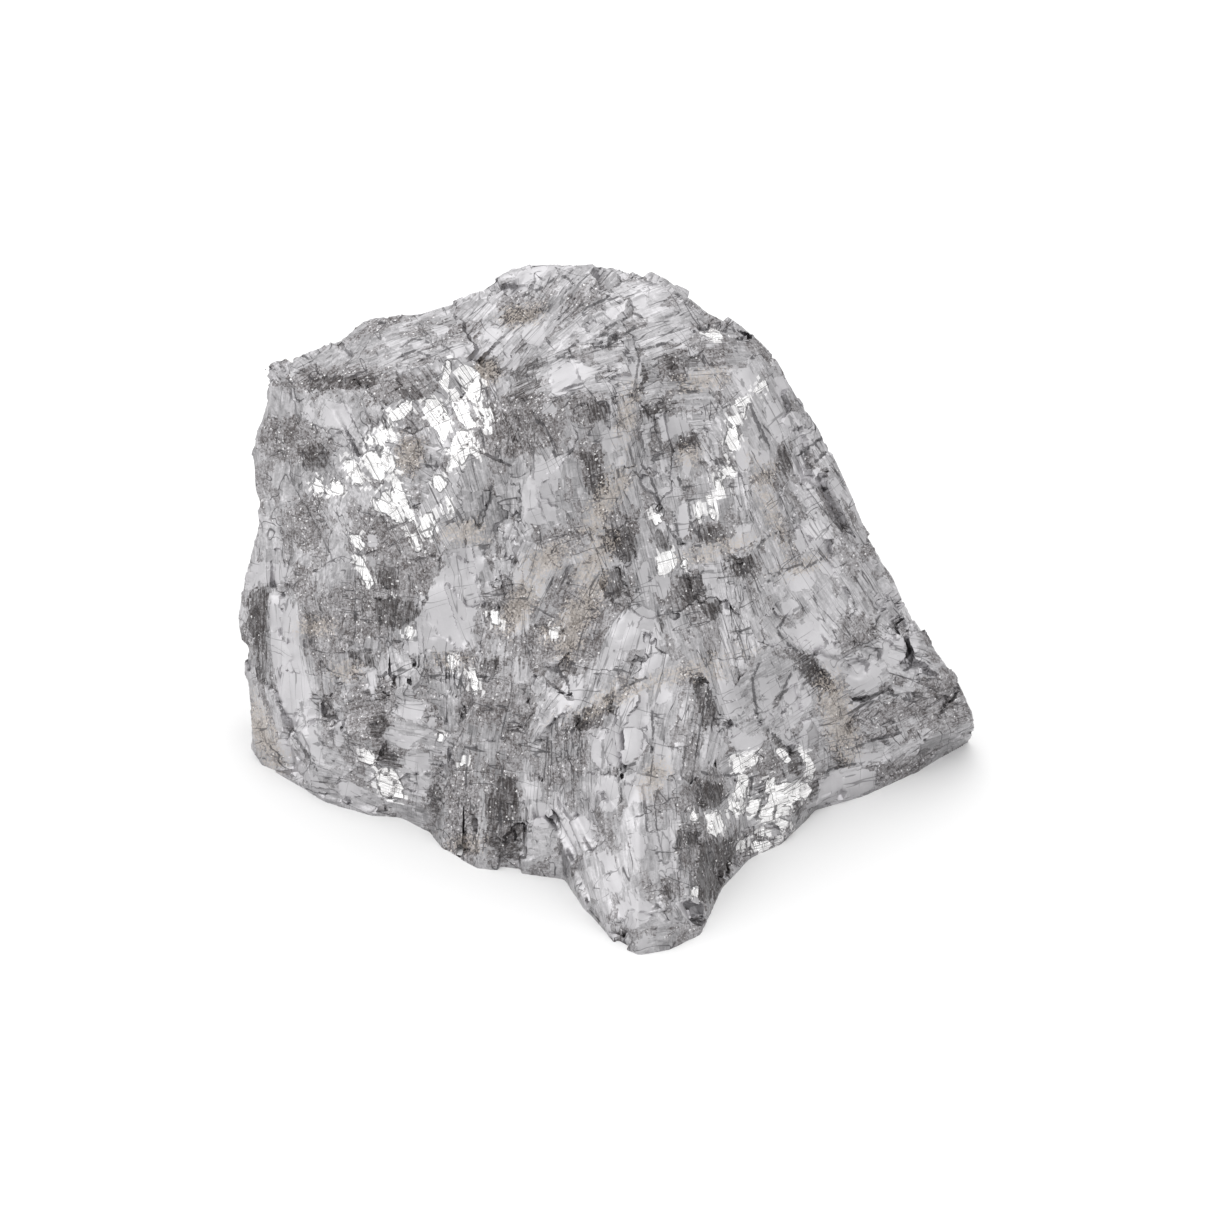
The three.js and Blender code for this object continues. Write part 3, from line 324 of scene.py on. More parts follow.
# Named cracks: points one after another along each crack.
SEAMS = [
    (29.1, -0.5, 29.6, -2.5, 29.9, -4.7, 30, -6, 29.1, -6.3),
    (23.6, -9.6, 25.4, -9, 27.4, -8.4, 29, -9, 30.4, -9.4), (24.2, -14.1, 26, -13.2, 29, -12.4),
    (21.8, -16.1, 24, -15.6, 26.2, -15.3), (18.7, -5.7, 17.7, -7.6, 17.1, -9, 18.2, -10.1),
    (15.3, -11.6, 16.6, -12.8, 18.1, -14.1), (15, -5.6, 14.3, -7.2, 14.6, -9.2, 14.8, -11),
    (19.1, 0.1, 17.7, -0.9, 16.8, -2.3, 17.6, -3.5, 18.8, -4.3),
    (-8.3, 30.7, -6.8, 31.3, -5, 32.5, -4.3, 32.7, -3.4, 32), (-2.2, 29.4, -0.2, 30.4, 1.5, 32.3),
    (-0.2, 27.6, 1.3, 28.2, 2.5, 29, 3.6, 28.6), (-1.7, 26.7, -0.1, 26.9, 1.1, 26.5, 2.7, 27.5),
    (-5.2, 24.7, -3.7, 24.7, -2.1, 24.3), (2.3, 25.4, 4.4, 25.6, 6.8, 26.4),
    (-30.3, -9.2, -29.9, -11.2, -27.9, -13.6), (-32.5, -9.2, -31.3, -12.2, -29.9, -14.1, -28.6, -16.1),
    (-30, -3.3, -29.6, -5.2, -29.2, -6.7, -28.2, -6), (-0.2, -16.5, 1.3, -16, 3.1, -15.3),
    (1.2, -16.8, 1.4, -19.1), (4.3, -9.7, 4.6, -12.2, 4.4, -14.6, 4.1, -16.6), (-0.4, -12.5, -0.4, -15.9),
    (-0.3, -9, 1.8, -7.8, 4.3, -6.8, 5.7, -6.5), (2.6, -5.3, 4.3, -4.8, 5.5, -4.4),
    (17.4, 20.1, 18.1, 18.7, 19, 17.5), (14.1, 20.1, 14.7, 18.5, 15.2, 16.5, 15.1, 15),
    (14.8, 18.5, 15.7, 16.5, 16.2, 15.5), (13.3, 22.4, 13.8, 21), (18.8, 14.9, 20.1, 15.9, 21.4, 16.8),
    (20.4, 14.2, 21.6, 15.3), (19.7, 11.6, 20.6, 11.9, 21.8, 11.4, 23, 10.4),
    (14.8, 5.8, 15.9, 7, 17.1, 7.4), (19.1, 4.3, 19.9, 4, 21.7, 5.1), (15.9, 2.5, 17.6, 3.7, 19.1, 4.2),
    (9.6, 18, 10.5, 15.5, 11.3, 12.4), (9.3, 20.5, 9.6, 18), (7, 12.8, 7.9, 10.8, 8.3, 8.1, 9.1, 6.9),
    (6.5, 9.4, 7.3, 6.3, 8.2, 6), (4.3, 12.8, 5.5, 9.4), (-11.5, 12.2, -11.5, 10.4, -12.5, 9.4, -12.7, 7.8),
    (-8.7, 11.6, -8.5, 10.1, -8.7, 8.8), (-20.5, 24.7, -19, 25.3, -17.3, 24.7),
    (-20.5, 25.7, -19, 26.6, -17.7, 26.1),
    (11.9, -19.7, 13.8, -20.4, 15.7, -21.2, 18.9, -22.8),
    (15.5, -18.8, 15.1, -19.9, 14.7, -21),
    (14, -19, 13.5, -20.5),
    (16.7, -19.7, 16.4, -21.3),
    (14.3, -16.7, 14.1, -18.7),
    (9.2, -16.3, 11.4, -16.7, 13.1, -16.5),
]

# The rest are soft patches: the middle, half the length and half the width, in mm, and the turn of the
# long side in degrees.

# Granular break between the plates.
GRAINY = [
    (-31.1, 16.5, 3.3, 2.2, -10), (-26.9, 22.4, 5.0, 1.2, 5), (-20.5, 21.6, 4.0, 1.2, 8),
    (-11.9, 23.2, 1.4, 1.3, 0), (-19.5, 15.0, 2.0, 1.5, 60), (-8.8, 18.0, 5.6, 3.0, 10),
    (-2.0, 19.5, 2.0, 1.8, 0), (-1.5, 14.0, 2.6, 1.4, -70), (-8.4, 29.0, 2.0, 1.0, 15),
    (-2.0, 30.6, 2.2, 1.0, 35), (-22.4, 27.9, 3.5, 0.6, 20), (-15.5, 27.4, 3.5, 0.8, 0),
    (-21.0, 6.6, 4.5, 2.3, -20), (-29.9, 8.1, 2.5, 2.0, -60), (-20.0, 2.7, 4.0, 1.8, 0),
    (-4.0, 6.6, 2.5, 1.6, 20), (-30.3, 2.2, 2.4, 1.4, -60), (-34.6, -1.5, 3.2, 0.9, 88),
    (-24.9, -0.5, 5.5, 3.0, 20), (-23.4, -10.2, 3.3, 2.4, 80), (-21.9, -14.1, 2.0, 1.0, -20),
    (-27.4, -10.9, 2.5, 0.9, 90), (-11.1, -9.2, 2.6, 2.0, 60), (-10.3, -20.3, 5.4, 1.7, 88),
    (-14.3, -19.1, 5.0, 1.6, 88), (-16.9, -19.6, 2.6, 0.7, 85), (-14.3, -24.2, 1.5, 1.0, 0),
    (-3.2, -12.2, 3.0, 1.0, 30), (-11.4, -5.9, 1.2, 0.9, 0), (-10.1, -0.3, 3.0, 1.8, 60),
    (-3.0, -1.0, 3.2, 2.2, 70), (-2.7, -4.7, 2.2, 1.6, 60), (-4.4, -16.3, 3.0, 1.2, 20),
    (0.5, -0.3, 3.5, 1.4, 60), (-0.7, -10.4, 2.5, 0.8, 40), (8.7, 0.2, 2.2, 1.4, -50),
    (9.2, -8.9, 2.5, 0.9, -80), (8.9, -18.6, 2.6, 1.4, 20), (8.7, -23.2, 3.0, 1.6, 70),
    (11.4, -25.7, 3.6, 1.0, 72), (15.8, -15.6, 1.8, 1.5, -40), (18.8, -16.1, 1.8, 0.5, -55),
    (20.6, -6.4, 2.2, 1.0, -55), (14.1, -23.5, 2.8, 1.4, 25), (18.8, -19.6, 1.2, 0.8, 60),
    (24.5, -2.3, 2.0, 1.5, 0), (33.4, -9.2, 3.0, 2.8, 30), (27.5, -10.7, 4.0, 1.2, 12),
    (28.7, -16.1, 2.6, 1.2, 15), (27.0, -12.5, 3.5, 0.5, 15), (8.2, -31.9, 2.0, 0.8, 10),
    (6.4, -27.7, 1.0, 1.0, 0), (6.7, 23.9, 1.7, 1.5, 80), (10.7, 24.6, 1.6, 1.2, 0),
    (10.7, 27.9, 1.2, 0.8, -40), (3.5, 22.7, 1.4, 0.4, 75), (5.2, 19.3, 2.4, 0.4, 10),
    (8.1, 16.0, 1.3, 1.1, 0), (6.4, 14.8, 1.0, 0.6, -60), (9.7, 7.4, 2.1, 1.2, -10),
    (17.3, 14.3, 2.2, 0.7, 85), (15.6, 13.0, 1.2, 0.6, 0), (13.6, 4.0, 1.6, 1.3, 0),
    (7.9, 2.2, 1.5, 1.3, 0), (1.3, 7.4, 2.5, 1.6, 70), (25.2, 5.1, 1.5, 0.7, 30),
    (22.2, 9.4, 2.6, 0.6, -60), (15.6, 25.2, 2.2, 0.7, -40), (-6.1, -3.3, 3.0, 2.0, 60),
    (-17.5, -10.2, 2.4, 0.8, -70), (-13.5, -8.2, 3.0, 1.0, 80), (-8.6, -11.2, 3.0, 1.4, 70),
    (-18.5, 4.6, 2.0, 1.5, 0), (-27.4, -3.3, 2.6, 1.6, 40), (-4.6, 1.7, 2.0, 1.2, 60),
]

# Thin brown stain.
STAINED = [
    (-0.5, 9.9, 2.4, 0.8, 65), (0.8, 11.6, 1.6, 0.7, 60), (2.0, 19.3, 1.6, 0.5, 80),
    (15.6, 12.6, 1.0, 0.5, 70), (16.1, 9.9, 1.8, 0.3, -70), (8.2, 15.0, 0.7, 0.6, 0),
    (19.1, 4.0, 1.2, 0.4, 20), (10.7, 5.6, 2.0, 0.4, 15), (-1.2, 4.6, 2.2, 0.9, 60),
    (9.4, 22.4, 1.5, 0.6, 10), (-8.4, 28.8, 1.4, 0.7, 10), (-19.5, 15.0, 1.5, 1.0, 70),
    (-14.0, 7.4, 1.4, 0.8, 0), (-8.6, 0.2, 2.4, 1.1, 60), (-5.1, -2.5, 1.0, 0.6, 20),
    (-1.5, 1.5, 1.8, 0.9, 70), (-28.9, -2.0, 1.2, 0.6, 0), (-25.7, -6.4, 0.8, 0.5, 0),
    (-15.5, -5.3, 0.8, 0.4, 0), (-34.1, -12.4, 3.0, 1.0, -65), (-13.8, -23.5, 1.0, 0.5, 0),
    (22.7, -10.7, 3.4, 1.2, -75), (5.4, -7.2, 3.2, 0.3, 20), (9.9, -6.4, 0.8, 0.3, 0),
    (-0.2, -9.2, 1.4, 0.5, 40), (4.7, -16.8, 1.4, 0.8, 60), (-3.2, -1.3, 2.0, 1.2, 60),
    (-6.1, 4.6, 1.8, 1.0, 30), (-12.0, 23.2, 1.0, 0.9, 0), (-3.7, -3.3, 1.6, 0.9, 70),
]

# Painted shade: patches where the metal's colour is darkened to stand for shade.
PAINTED_SHADE_PATCHES = [
    (-26.2, 22.2, 6.5, 0.8, 0), (-28.2, 23.9, 2.2, 1, 5), (-20.7, 20.8, 3.6, 0.8, 15),
    (-12.6, 27.8, 3.4, 0.7, 5), (-31.2, 16.7, 2.4, 1.2, -20), (-28.7, 12.8, 1.8, 2, 0),
    (-8.4, 17.3, 3.4, 2.4, 10), (-8.4, 20.4, 2.2, 0.9, 5), (-1.5, 16, 2.6, 1.6, 0),
    (-9.8, 11.8, 1.5, 3.6, 0), (-0.7, 10.6, 1.6, 2, 0), (-0.9, -3.5, 1.2, 1.2, 40),
    (8.2, 21.9, 3.4, 1.2, -10), (5.2, 16.5, 2.6, 1.4, 20), (-6.1, 29.9, 2.4, 0.7, 25),
    (-23.2, -3.3, 1.4, 1.4, 0), (-11.6, -13.1, 2, 4, 0), (4.4, -12.9, 1.4, 4, 5),
    (4.4, -23.5, 2, 1.8, 0), (12.9, -7.9, 0.9, 2, 0), (12.3, -15.3, 1, 1.6, 0),
    (10.4, -25.6, 1.8, 3.2, -15), (9.6, -17.7, 2, 1.6, 0),
]

# Painted light: patches where the metal's colour is lightened to stand for light.
PAINTED_LIGHT_PATCHES = [
    (-0.3, 28.4, 6.1, 1.3, 27), (3.3, 31.1, 2, 1.2, -30), (-4.2, 23.2, 2.6, 0.9, 15),
    (-7.4, 27.2, 1.4, 1, 35), (-3.5, 32.3, 5.9, 1.4, 0), (-31.6, -0.3, 1.4, 4.5, 8),
    (-31, -8.2, 1.8, 3.2, 0), (-28.2, -12.4, 1.5, 2.6, 10), (-29.9, -14.3, 4.5, 1.1, -32),
    (-27.4, -3.4, 1.2, 1.4, 0), (-20, -13.3, 1.6, 3.8, -12), (-15.7, -6.7, 1.4, 2, -25),
    (-11.6, 0.7, 1.2, 2, 0), (1, -1.8, 1.2, 1.8, 48), (-4.4, -10.4, 1, 1.6, 0),
    (-0.2, -13.1, 1.8, 4, 0), (-7.1, -20.6, 1.2, 4, 0), (-3.5, -21.3, 2, 3.4, 30),
    (0.5, -28.2, 3.4, 2.2, -45), (3.3, -31.4, 3.4, 1.2, 0), (8.2, -30.4, 1.4, 1.4, 0),
    (21.3, -0.3, 3, 4.5, 15), (13.6, -3.3, 2, 3, 0), (25.2, -6.6, 2.2, 0.6, 25),
    (18.8, -9.6, 1.5, 2.6, 0), (25.8, -15.9, 4.5, 0.8, 12), (19.1, 12.6, 3, 0.9, -60),
    (-33.1, 6.6, 0.8, 2.8, 0), (33.4, -11.4, 2.2, 0.7, 45), (8.2, -11.2, 0.9, 3.4, -20),
    (10.7, -0.5, 2, 1.8, 0), (24, -10.4, 2.4, 0.9, 15),
]

# ------------------------------------------------------------------ settings


class GalenaSettings(bpy.types.PropertyGroup):
    """Sizes and colours of the galena lump."""

    remesh_size: bpy.props.FloatProperty(
        name="Remesh size", description="Spacing of the fine mesh the lump is broken from",
        default=0.23 * MM, min=0.1 * MM, unit="LENGTH", precision=5,
    )
    triangle_limit: bpy.props.IntProperty(
        name="Triangles", description="Triangles kept in the finished lump", default=192000, min=1000,
    )
    slab_step: bpy.props.FloatProperty(
        name="Slab step", description="Height of one step between large cleavage slabs",
        default=0.12 * MM, min=0.0, unit="LENGTH", precision=5,
    )
    brick_step: bpy.props.FloatProperty(
        name="Brick step", description="Greatest height between neighbouring small cleavage bricks",
        default=0.1 * MM, min=0.0, unit="LENGTH", precision=5,
    )
    crumb_height: bpy.props.FloatProperty(
        name="Crumb height", description="Height of the rough crumbs where the break is granular",
        default=0.16 * MM, min=0.0, unit="LENGTH", precision=5,
    )
    metal_colour: bpy.props.FloatVectorProperty(
        name="Metal", description="Colour of a clean cleavage face",
        default=(0.482, 0.474, 0.487), size=3, min=0.0, max=1.0, subtype="COLOR",
    )
    # Dark metal is the granular break's own colour, and at half strength the painted shade in the hollows.
    dark_metal_and_shade_colour: bpy.props.FloatVectorProperty(
        name="Dark metal", description="Colour of the granular break between bright grains",
        default=(0.112, 0.101, 0.1), size=3, min=0.0, max=1.0, subtype="COLOR",
    )
    # Painted reflection: the near white colour that stands for light reflected by the mirror faces and
    # glints.
    painted_reflection_colour: bpy.props.FloatVectorProperty(
        name="Mirror metal", description="Colour of a fresh mirror-bright cleavage face",
        default=(0.98, 0.97, 0.97), size=3, min=0.0, max=1.0, subtype="COLOR",
    )
    stain_colour: bpy.props.FloatVectorProperty(
        name="Stain", description="Colour of the brownish gangue left between the grains",
        default=(0.47, 0.42, 0.375), size=3, min=0.0, max=1.0, subtype="COLOR",
    )
    crack_colour: bpy.props.FloatVectorProperty(
        name="Crack", description="Colour inside the fine cleavage cracks",
        default=(0.06, 0.058, 0.062), size=3, min=0.0, max=1.0, subtype="COLOR",
    )


# ------------------------------------------------------------------ arrays

# Keeps a vector that has no length from being divided by 0.
LEAST_LENGTH = 1e-12

# Noise: its number of waves, the least and greatest wave in shares of its size, and how far their mean is
# scaled up, as the waves partly cancel each other.
WAVE_COUNT = 14
WAVE_SHARES = (0.7, 1.5)
WAVE_GAIN = 2.2

# Repeatable chance: the first factor and offset, the steps of a shift and a factor, and the last shift.
# Numbers are cut to 32 bits on the way, and 24 bits of the last one are kept.
SCATTER_START = (2654435761, 974711)
SCATTER_STEPS = ((15, 2246822519), (13, 3266489917))
SCATTER_END = 16
CUT = 0xFFFFFFFF
KEPT = 0xFFFFFF


def unit(vectors):
    """Each vector divided by its own length."""
    return vectors / np.maximum(np.linalg.norm(vectors, axis=-1, keepdims=True), LEAST_LENGTH)


def waves(places, size_mm, seed):
    """Smooth noise, mostly from -1 to 1: the mean of sine waves that cross space in random directions.

    Each wave is sin(k.p + phase) with |k| near 2 pi / size.
    """
    rng = np.random.default_rng(seed)
    directions = unit(rng.normal(size=(WAVE_COUNT, 3)))
    lengths = size_mm * rng.uniform(*WAVE_SHARES, size=(WAVE_COUNT, 1))
    phases = rng.uniform(0, 2 * math.pi, size=WAVE_COUNT)
    angles = places @ (directions * 2 * math.pi / lengths).T + phases
    return np.sin(angles).mean(axis=1) * WAVE_GAIN


def layered_waves(places, layers, shift=0):
    """The sum of several noises. Each layer is its strength, its wave size in mm and its seed."""
    return sum(strength * waves(places, size_mm, seed + shift) for strength, size_mm, seed in layers)


def fade(values, low, high):
    """A smooth step: 0 at low and under it, 1 at high and over it."""
    share = np.clip((values - low) / (high - low), 0, 1)
    return share * share * (3 - 2 * share)


def scattered(number):
    """A repeatable random number from 0 to 1 for each whole number in an array.

    The number's bits are mixed by multiplying, shifting and exclusive or.
    """
    factor, offset = SCATTER_START
    mixed = (number.astype(np.int64) * factor + offset) & CUT
    for shift, factor in SCATTER_STEPS:
        mixed = ((mixed ^ (mixed >> shift)) * factor) & CUT
    return ((mixed ^ (mixed >> SCATTER_END)) & KEPT) / float(KEPT)


def vertex_rows(mesh, name):
    """A vector property of a mesh's vertices, as rows."""
    flat = np.empty(len(mesh.vertices) * 3, dtype=np.float32)
    mesh.vertices.foreach_get(name, flat)
    return flat.reshape(-1, 3).astype(np.float64)


def vertex_places_mm(mesh):
    """The places of a mesh's vertices in mm, as rows."""
    return vertex_rows(mesh, "co") / MM


# ------------------------------------------------------------------ grains and relief

SMOOTHING_STEPS = 5
SMOOTHING_SHARE = 0.5
WELD_GAP = 0.001 * MM
SHARP_ANGLE = math.radians(24)
GROWTH_MM = 0.08
MOVE_LIMIT_MM = 0.8
FLATTENING_LIMIT_MM = 0.9

# Vertices lower than the first height lie flat on the floor. From there the relief grows, up to the second.
FLAT_BASE_MM = 0.2
FULL_RELIEF_MM = 1.2

SUBGRAIN_COUNT = 170
SUBGRAIN_TILT = math.radians(4)
GRAIN_SEED = 11
# How much of a subgrain's main plane comes from its named grain. The rest comes from the surface.
NAMED_SHARE = 0.2
# Noise that makes the edges of the subgrains ragged. A layer is a strength and a wave size in mm, and a seed.
GRAIN_EDGE_NOISE = ((1.3, 5.0, 31), (0.35, 1.1, 41))

# Three sizes of brick: length and width in mm, and how far the top leans with the surface, from 0 to 1.
SLABS = (7.0, 3.4, 0.9)
LONG_BRICKS = (3.6, 1.4, 0.6)
SHORT_BRICKS = (1.7, 0.6, 0.6)
LAYER_MM = 7.0
# How far a sine shifts the edges of rows and of columns, in shares of their size, and the sine's rate.
ROW_UNEVENNESS = (0.3, 1.9)
COLUMN_UNEVENNESS = (0.32, 1.7)
# How many rows chance shifts a grain by at most, how many columns it shifts a row by, and the step between
# two grains in the number that a row's chance comes from.
ROW_SHIFT = 50
COLUMN_SHIFT = 7
GRAIN_STEP = 977
# More than the rows or columns of any grain, and more than its layers.
ROW_LIMIT = 4093
LAYER_LIMIT = 61
# Added to the spread of a brick's places, so that a brick of one place has a plane too.
LEAST_SPREAD = 1e-4
# How nearly a brick faces its grain's main plane where it starts to move, and where it moves fully.
SQUARENESS = (0.4, 0.65)
# Noise of the granular crumbs, in layers of the same kind.
CRUMB_NOISE = ((1.0, 0.9, 61), (0.6, 0.5, 62))

# Soft edges of the flat plates, of the granular break and of the pressed places, in mm from the outside in.
PLATE_EDGE_MM = (-0.1, 0.4)
GRANULAR_EDGE_MM = (-0.1, 0.5)
PRESSED_EDGE_MM = (-0.5, 0.4)
# Only surface that faces the show side at least this far is pressed.
PRESSED_FACING = 0.1
# How much of their height bricks lose on a flat plate, and short bricks on the granular break.
PLATE_CALM = 0.9
GRANULAR_CALM = 0.6


def grain_frames(outs, alongs):
    """Three square directions per grain as rows of a matrix: along, across and out of its main plane."""
    outs = unit(outs)
    across = unit(np.cross(outs, alongs))
    return np.stack([np.cross(across, outs), across, outs], axis=1)


def crystal_subgrains(places, normals):
    """Splits the named grains into many small ones, each tilted a little from the one it belongs to.

    The subgrains are seeded on random vertices. A seed takes the ledge direction of its nearest named
    grain, and its main plane faces between the surface at the seed and that grain's own plane.
    """
    rng = np.random.default_rng(GRAIN_SEED)
    picks = rng.choice(len(places), SUBGRAIN_COUNT, replace=False)
    seeds = places[picks]
    table = [np.array(column, dtype=float) for column in zip(*GRAINS.values())]
    named_places, named_outs, named_alongs = table
    gaps = np.linalg.norm(seeds[:, None] - named_places[None], axis=2)
    owner = gaps.argmin(axis=1)
    outs = NAMED_SHARE * unit(named_outs[owner]) + (1 - NAMED_SHARE) * unit(normals[picks])
    outs = unit(outs) + rng.normal(scale=SUBGRAIN_TILT, size=(SUBGRAIN_COUNT, 3))
    alongs = unit(named_alongs[owner]) + rng.normal(scale=SUBGRAIN_TILT * 2, size=(SUBGRAIN_COUNT, 3))
    return seeds, grain_frames(outs, alongs)


def nearest_subgrain(places, seeds):
    """The subgrain that each place belongs to. Places are first shaken by noise, so edges are ragged.

    The nearest seed s to a place p is the one with the largest p.s - s.s / 2.
    """
    shaken = places.copy()
    for strength, size_mm, seed in GRAIN_EDGE_NOISE:
        shaken += strength * np.stack([waves(places, size_mm, seed + axis) for axis in range(3)], axis=1)
    shaken = shaken.astype(np.float32)
    seeds = seeds.astype(np.float32)
    nearness = shaken @ seeds.T - 0.5 * (seeds * seeds).sum(axis=1)
    return nearness.argmax(axis=1)


def uneven_cells(place, reach, rate):
    """The number of the cell that each place lies in.

    Cells are 1 wide on average, and a sine of the place shifts their edges by reach at most.
    """
    return np.floor(place + reach * np.sin(place * rate)).astype(np.int64)


def brick_numbers(local, grain, length_mm, width_mm):
    """A whole number for the brick each place lies in, and a random number for each brick.

    Bricks are cells of uneven size along the first two directions of the grain, laid in rows. Each
    grain's rows and each row's bricks are shifted by chance. The key is the grain, row, column and layer
    in one number.
    """
    shift = scattered(grain) * ROW_SHIFT
    row = uneven_cells(local[:, 1] / width_mm + shift, *ROW_UNEVENNESS)
    shift = scattered(row + grain * GRAIN_STEP) * COLUMN_SHIFT
    column = uneven_cells(local[:, 0] / length_mm + shift, *COLUMN_UNEVENNESS)
    layer = np.floor(local[:, 2] / LAYER_MM).astype(np.int64)
    key = ((grain * ROW_LIMIT + row) * ROW_LIMIT + column) * LAYER_LIMIT + layer
    _, brick = np.unique(key, return_inverse=True)
    return brick, scattered(key)


def brick_means(brick, values):
    """The mean of some values over each brick, given back at every place of the brick."""
    counts = np.bincount(brick)
    return (np.bincount(brick, weights=values) / counts)[brick]


def flat_top_move(local, brick, lean, chance, jitter_mm):
    """How far each place moves out of its grain's main plane so that each brick has a flat top.

    The top is the least-squares plane h = a x + b y + c through the brick, with its slopes times lean: at 1
    it follows the surface, at 0 it lies along the cleavage. Each brick is also raised by chance.
    """
    x = local[:, 0] - brick_means(brick, local[:, 0])
    y = local[:, 1] - brick_means(brick, local[:, 1])
    height = local[:, 2] - brick_means(brick, local[:, 2])
    xx = brick_means(brick, x * x) + LEAST_SPREAD
    yy = brick_means(brick, y * y) + LEAST_SPREAD
    xy = brick_means(brick, x * y)
    xh = brick_means(brick, x * height)
    yh = brick_means(brick, y * height)
    spread = xx * yy - xy * xy
    slope_x = (xh * yy - yh * xy) / spread
    slope_y = (yh * xx - xh * xy) / spread
    return lean * (slope_x * x + slope_y * y) - height + (chance - 0.5) * jitter_mm


def flattened(places, normals, shapes, limit_mm):
    """The places with each shape of the show side pressed flat.

    A shape's places move along its mean normal, by limit_mm at most, towards the least-squares plane
    h = a x + b y + c through them. The move fades in across the shape's edge.
    """
    across, up, facing = show_places(places, normals)
    moved = places.copy()
    for shape in shapes:
        depth = np.where(facing > PRESSED_FACING, shape_field(across, up, [shape]), -FIELD_REACH_MM)
        inside = depth > 0.0
        out = unit(normals[inside].mean(axis=0))
        # Any direction away from the normal will do to lay the first axis in the plane.
        along = unit(np.cross(out, (0.3, 0.1, 1.0)))
        directions = np.stack([along, np.cross(out, along), out])
        middle = places[inside].mean(axis=0)
        near = np.flatnonzero(depth > PRESSED_EDGE_MM[0])
        local = (places[near] - middle) @ directions.T
        kept = inside[near]
        table = np.column_stack([local[kept, :2], np.ones(kept.sum())])
        slopes = np.linalg.lstsq(table, local[kept, 2], rcond=None)[0]
        level = local[:, :2] @ slopes[:2] + slopes[2]
        move = np.clip(level - local[:, 2], -limit_mm, limit_mm) * fade(depth[near], *PRESSED_EDGE_MM)
        moved[near] = places[near] + move[:, None] * out
    return moved


def break_along_cleavage(mesh, settings, subgrains):
    """Moves the vertices of the fine mesh so that it is broken into slabs, bricks and crumbs.

    Slabs and bricks move a place along its grain's main plane normal, less where the whole brick turns
    away from that plane, and bricks hardly at all on the flat plates. Crumbs move it along its own normal
    where the break is granular.
    """
    places = vertex_places_mm(mesh)
    normals = vertex_rows(mesh, "normal")
    places = flattened(places, normals, LEVELLED, FLATTENING_LIMIT_MM)
    seeds, frames = subgrains
    grain = nearest_subgrain(places, seeds)
    outs = frames[grain, 2]
    facing = (outs * normals).sum(axis=1)
    fields = surface_fields(places, normals)
    plate = fade(fields["smooth"], *PLATE_EDGE_MM)
    granular = fade(fields["grainy"], *GRANULAR_EDGE_MM) * (1 - plate)
    off_plates = 1 - PLATE_CALM * plate
    above_base = fade(places[:, 2], FLAT_BASE_MM, FULL_RELIEF_MM)

    for (length, width, lean), jitter, share in (
        (SLABS, settings.slab_step, 1.0),
        (LONG_BRICKS, settings.brick_step, off_plates),
        (SHORT_BRICKS, settings.brick_step, off_plates * (1.0 - GRANULAR_CALM * granular)),
    ):
        local = np.einsum("nij,nj->ni", frames[grain], places)
        brick, chance = brick_numbers(local, grain, length, width)
        squareness = fade(brick_means(brick, facing), *SQUARENESS)
        move = flat_top_move(local, brick, lean, chance, jitter / MM)
        move = np.clip(move, -MOVE_LIMIT_MM, MOVE_LIMIT_MM)
        places = places + outs * (move * squareness * share * above_base)[:, None]

    # The noise goes from about -1 to 1, so crumbs get half their height up and half of it down.
    crumbs = layered_waves(places, CRUMB_NOISE)
    bulge = crumbs * granular * 0.5 * settings.crumb_height / MM + GROWTH_MM
    places = places + normals * (bulge * above_base)[:, None]
    places[:, 2] = np.where(places[:, 2] < FLAT_BASE_MM, 0.0, places[:, 2])
    mesh.vertices.foreach_set("co", (places * MM).astype(np.float32).ravel())
    mesh.update()


# ------------------------------------------------------------------ fields on the show side

# No field says more than this about how far a place is from an edge.
FIELD_REACH_MM = 1.5
# How far a surface faces the show side where the shapes start to count, and where they count fully.
SHOWN_FACING = (0.02, 0.16)

# How much of the sides out of view each kind of break covers: noise plus this, in mm, is its field there.
HIDDEN_COVER_MM = {
    "bright": -1.6, "smooth": -0.1, "grainy": -0.3, "dark": -1.7, "stained": -1.0,
    "painted_shade": -0.3, "painted_light": -0.3,
}
# That noise, in layers of a strength and a wave size in mm, and a seed.
HIDDEN_NOISE = ((1.3, 8.0, 71), (0.8, 3.0, 91))


def show_axes():
    """The show side's right, up and looking directions."""
    right = np.array([1.0, 0.0, 0.0])
    looking = np.array([0.0, math.cos(SHOW_ELEVATION), -math.sin(SHOW_ELEVATION)])
    return right, np.cross(right, looking), looking


def show_places(places, normals):
    """Where each place is seen on the show side, in mm across and up, and how far it faces that way."""
    right, up, looking = show_axes()
    offset = places - SHOW_TARGET_MM
    nearing = SHOW_DISTANCE_MM / (SHOW_DISTANCE_MM + offset @ looking)
    return (offset @ right) * nearing, (offset @ up) * nearing, -(normals @ looking)


def patch_field(across, up, patches):
    """How deep inside the nearest patch each place lies, in mm: 0 on a patch's edge, over 0 inside.

    A patch is a rounded rectangle |x|^3 + |y|^3 = 1 in its own half sizes.
    """
    field = np.full(across.shape, -FIELD_REACH_MM)
    for middle_across, middle_up, half_length, half_width, turn in patches:
        angle = math.radians(turn)
        x = across - middle_across
        y = up - middle_up
        lengthwise = np.abs(x * math.cos(angle) + y * math.sin(angle)) / half_length
        crosswise = np.abs(y * math.cos(angle) - x * math.sin(angle)) / half_width
        depth = (1 - np.cbrt(lengthwise**3 + crosswise**3)) * half_width
        field = np.maximum(field, depth)
    return np.minimum(field, FIELD_REACH_MM)


def edge_gap(spots, start, end):
    """How far each spot lies from the straight edge between two corners."""
    edge = end - start
    share = np.clip((spots - start) @ edge / (edge @ edge), 0, 1)
    return np.linalg.norm(spots - start - share[:, None] * edge, axis=1)


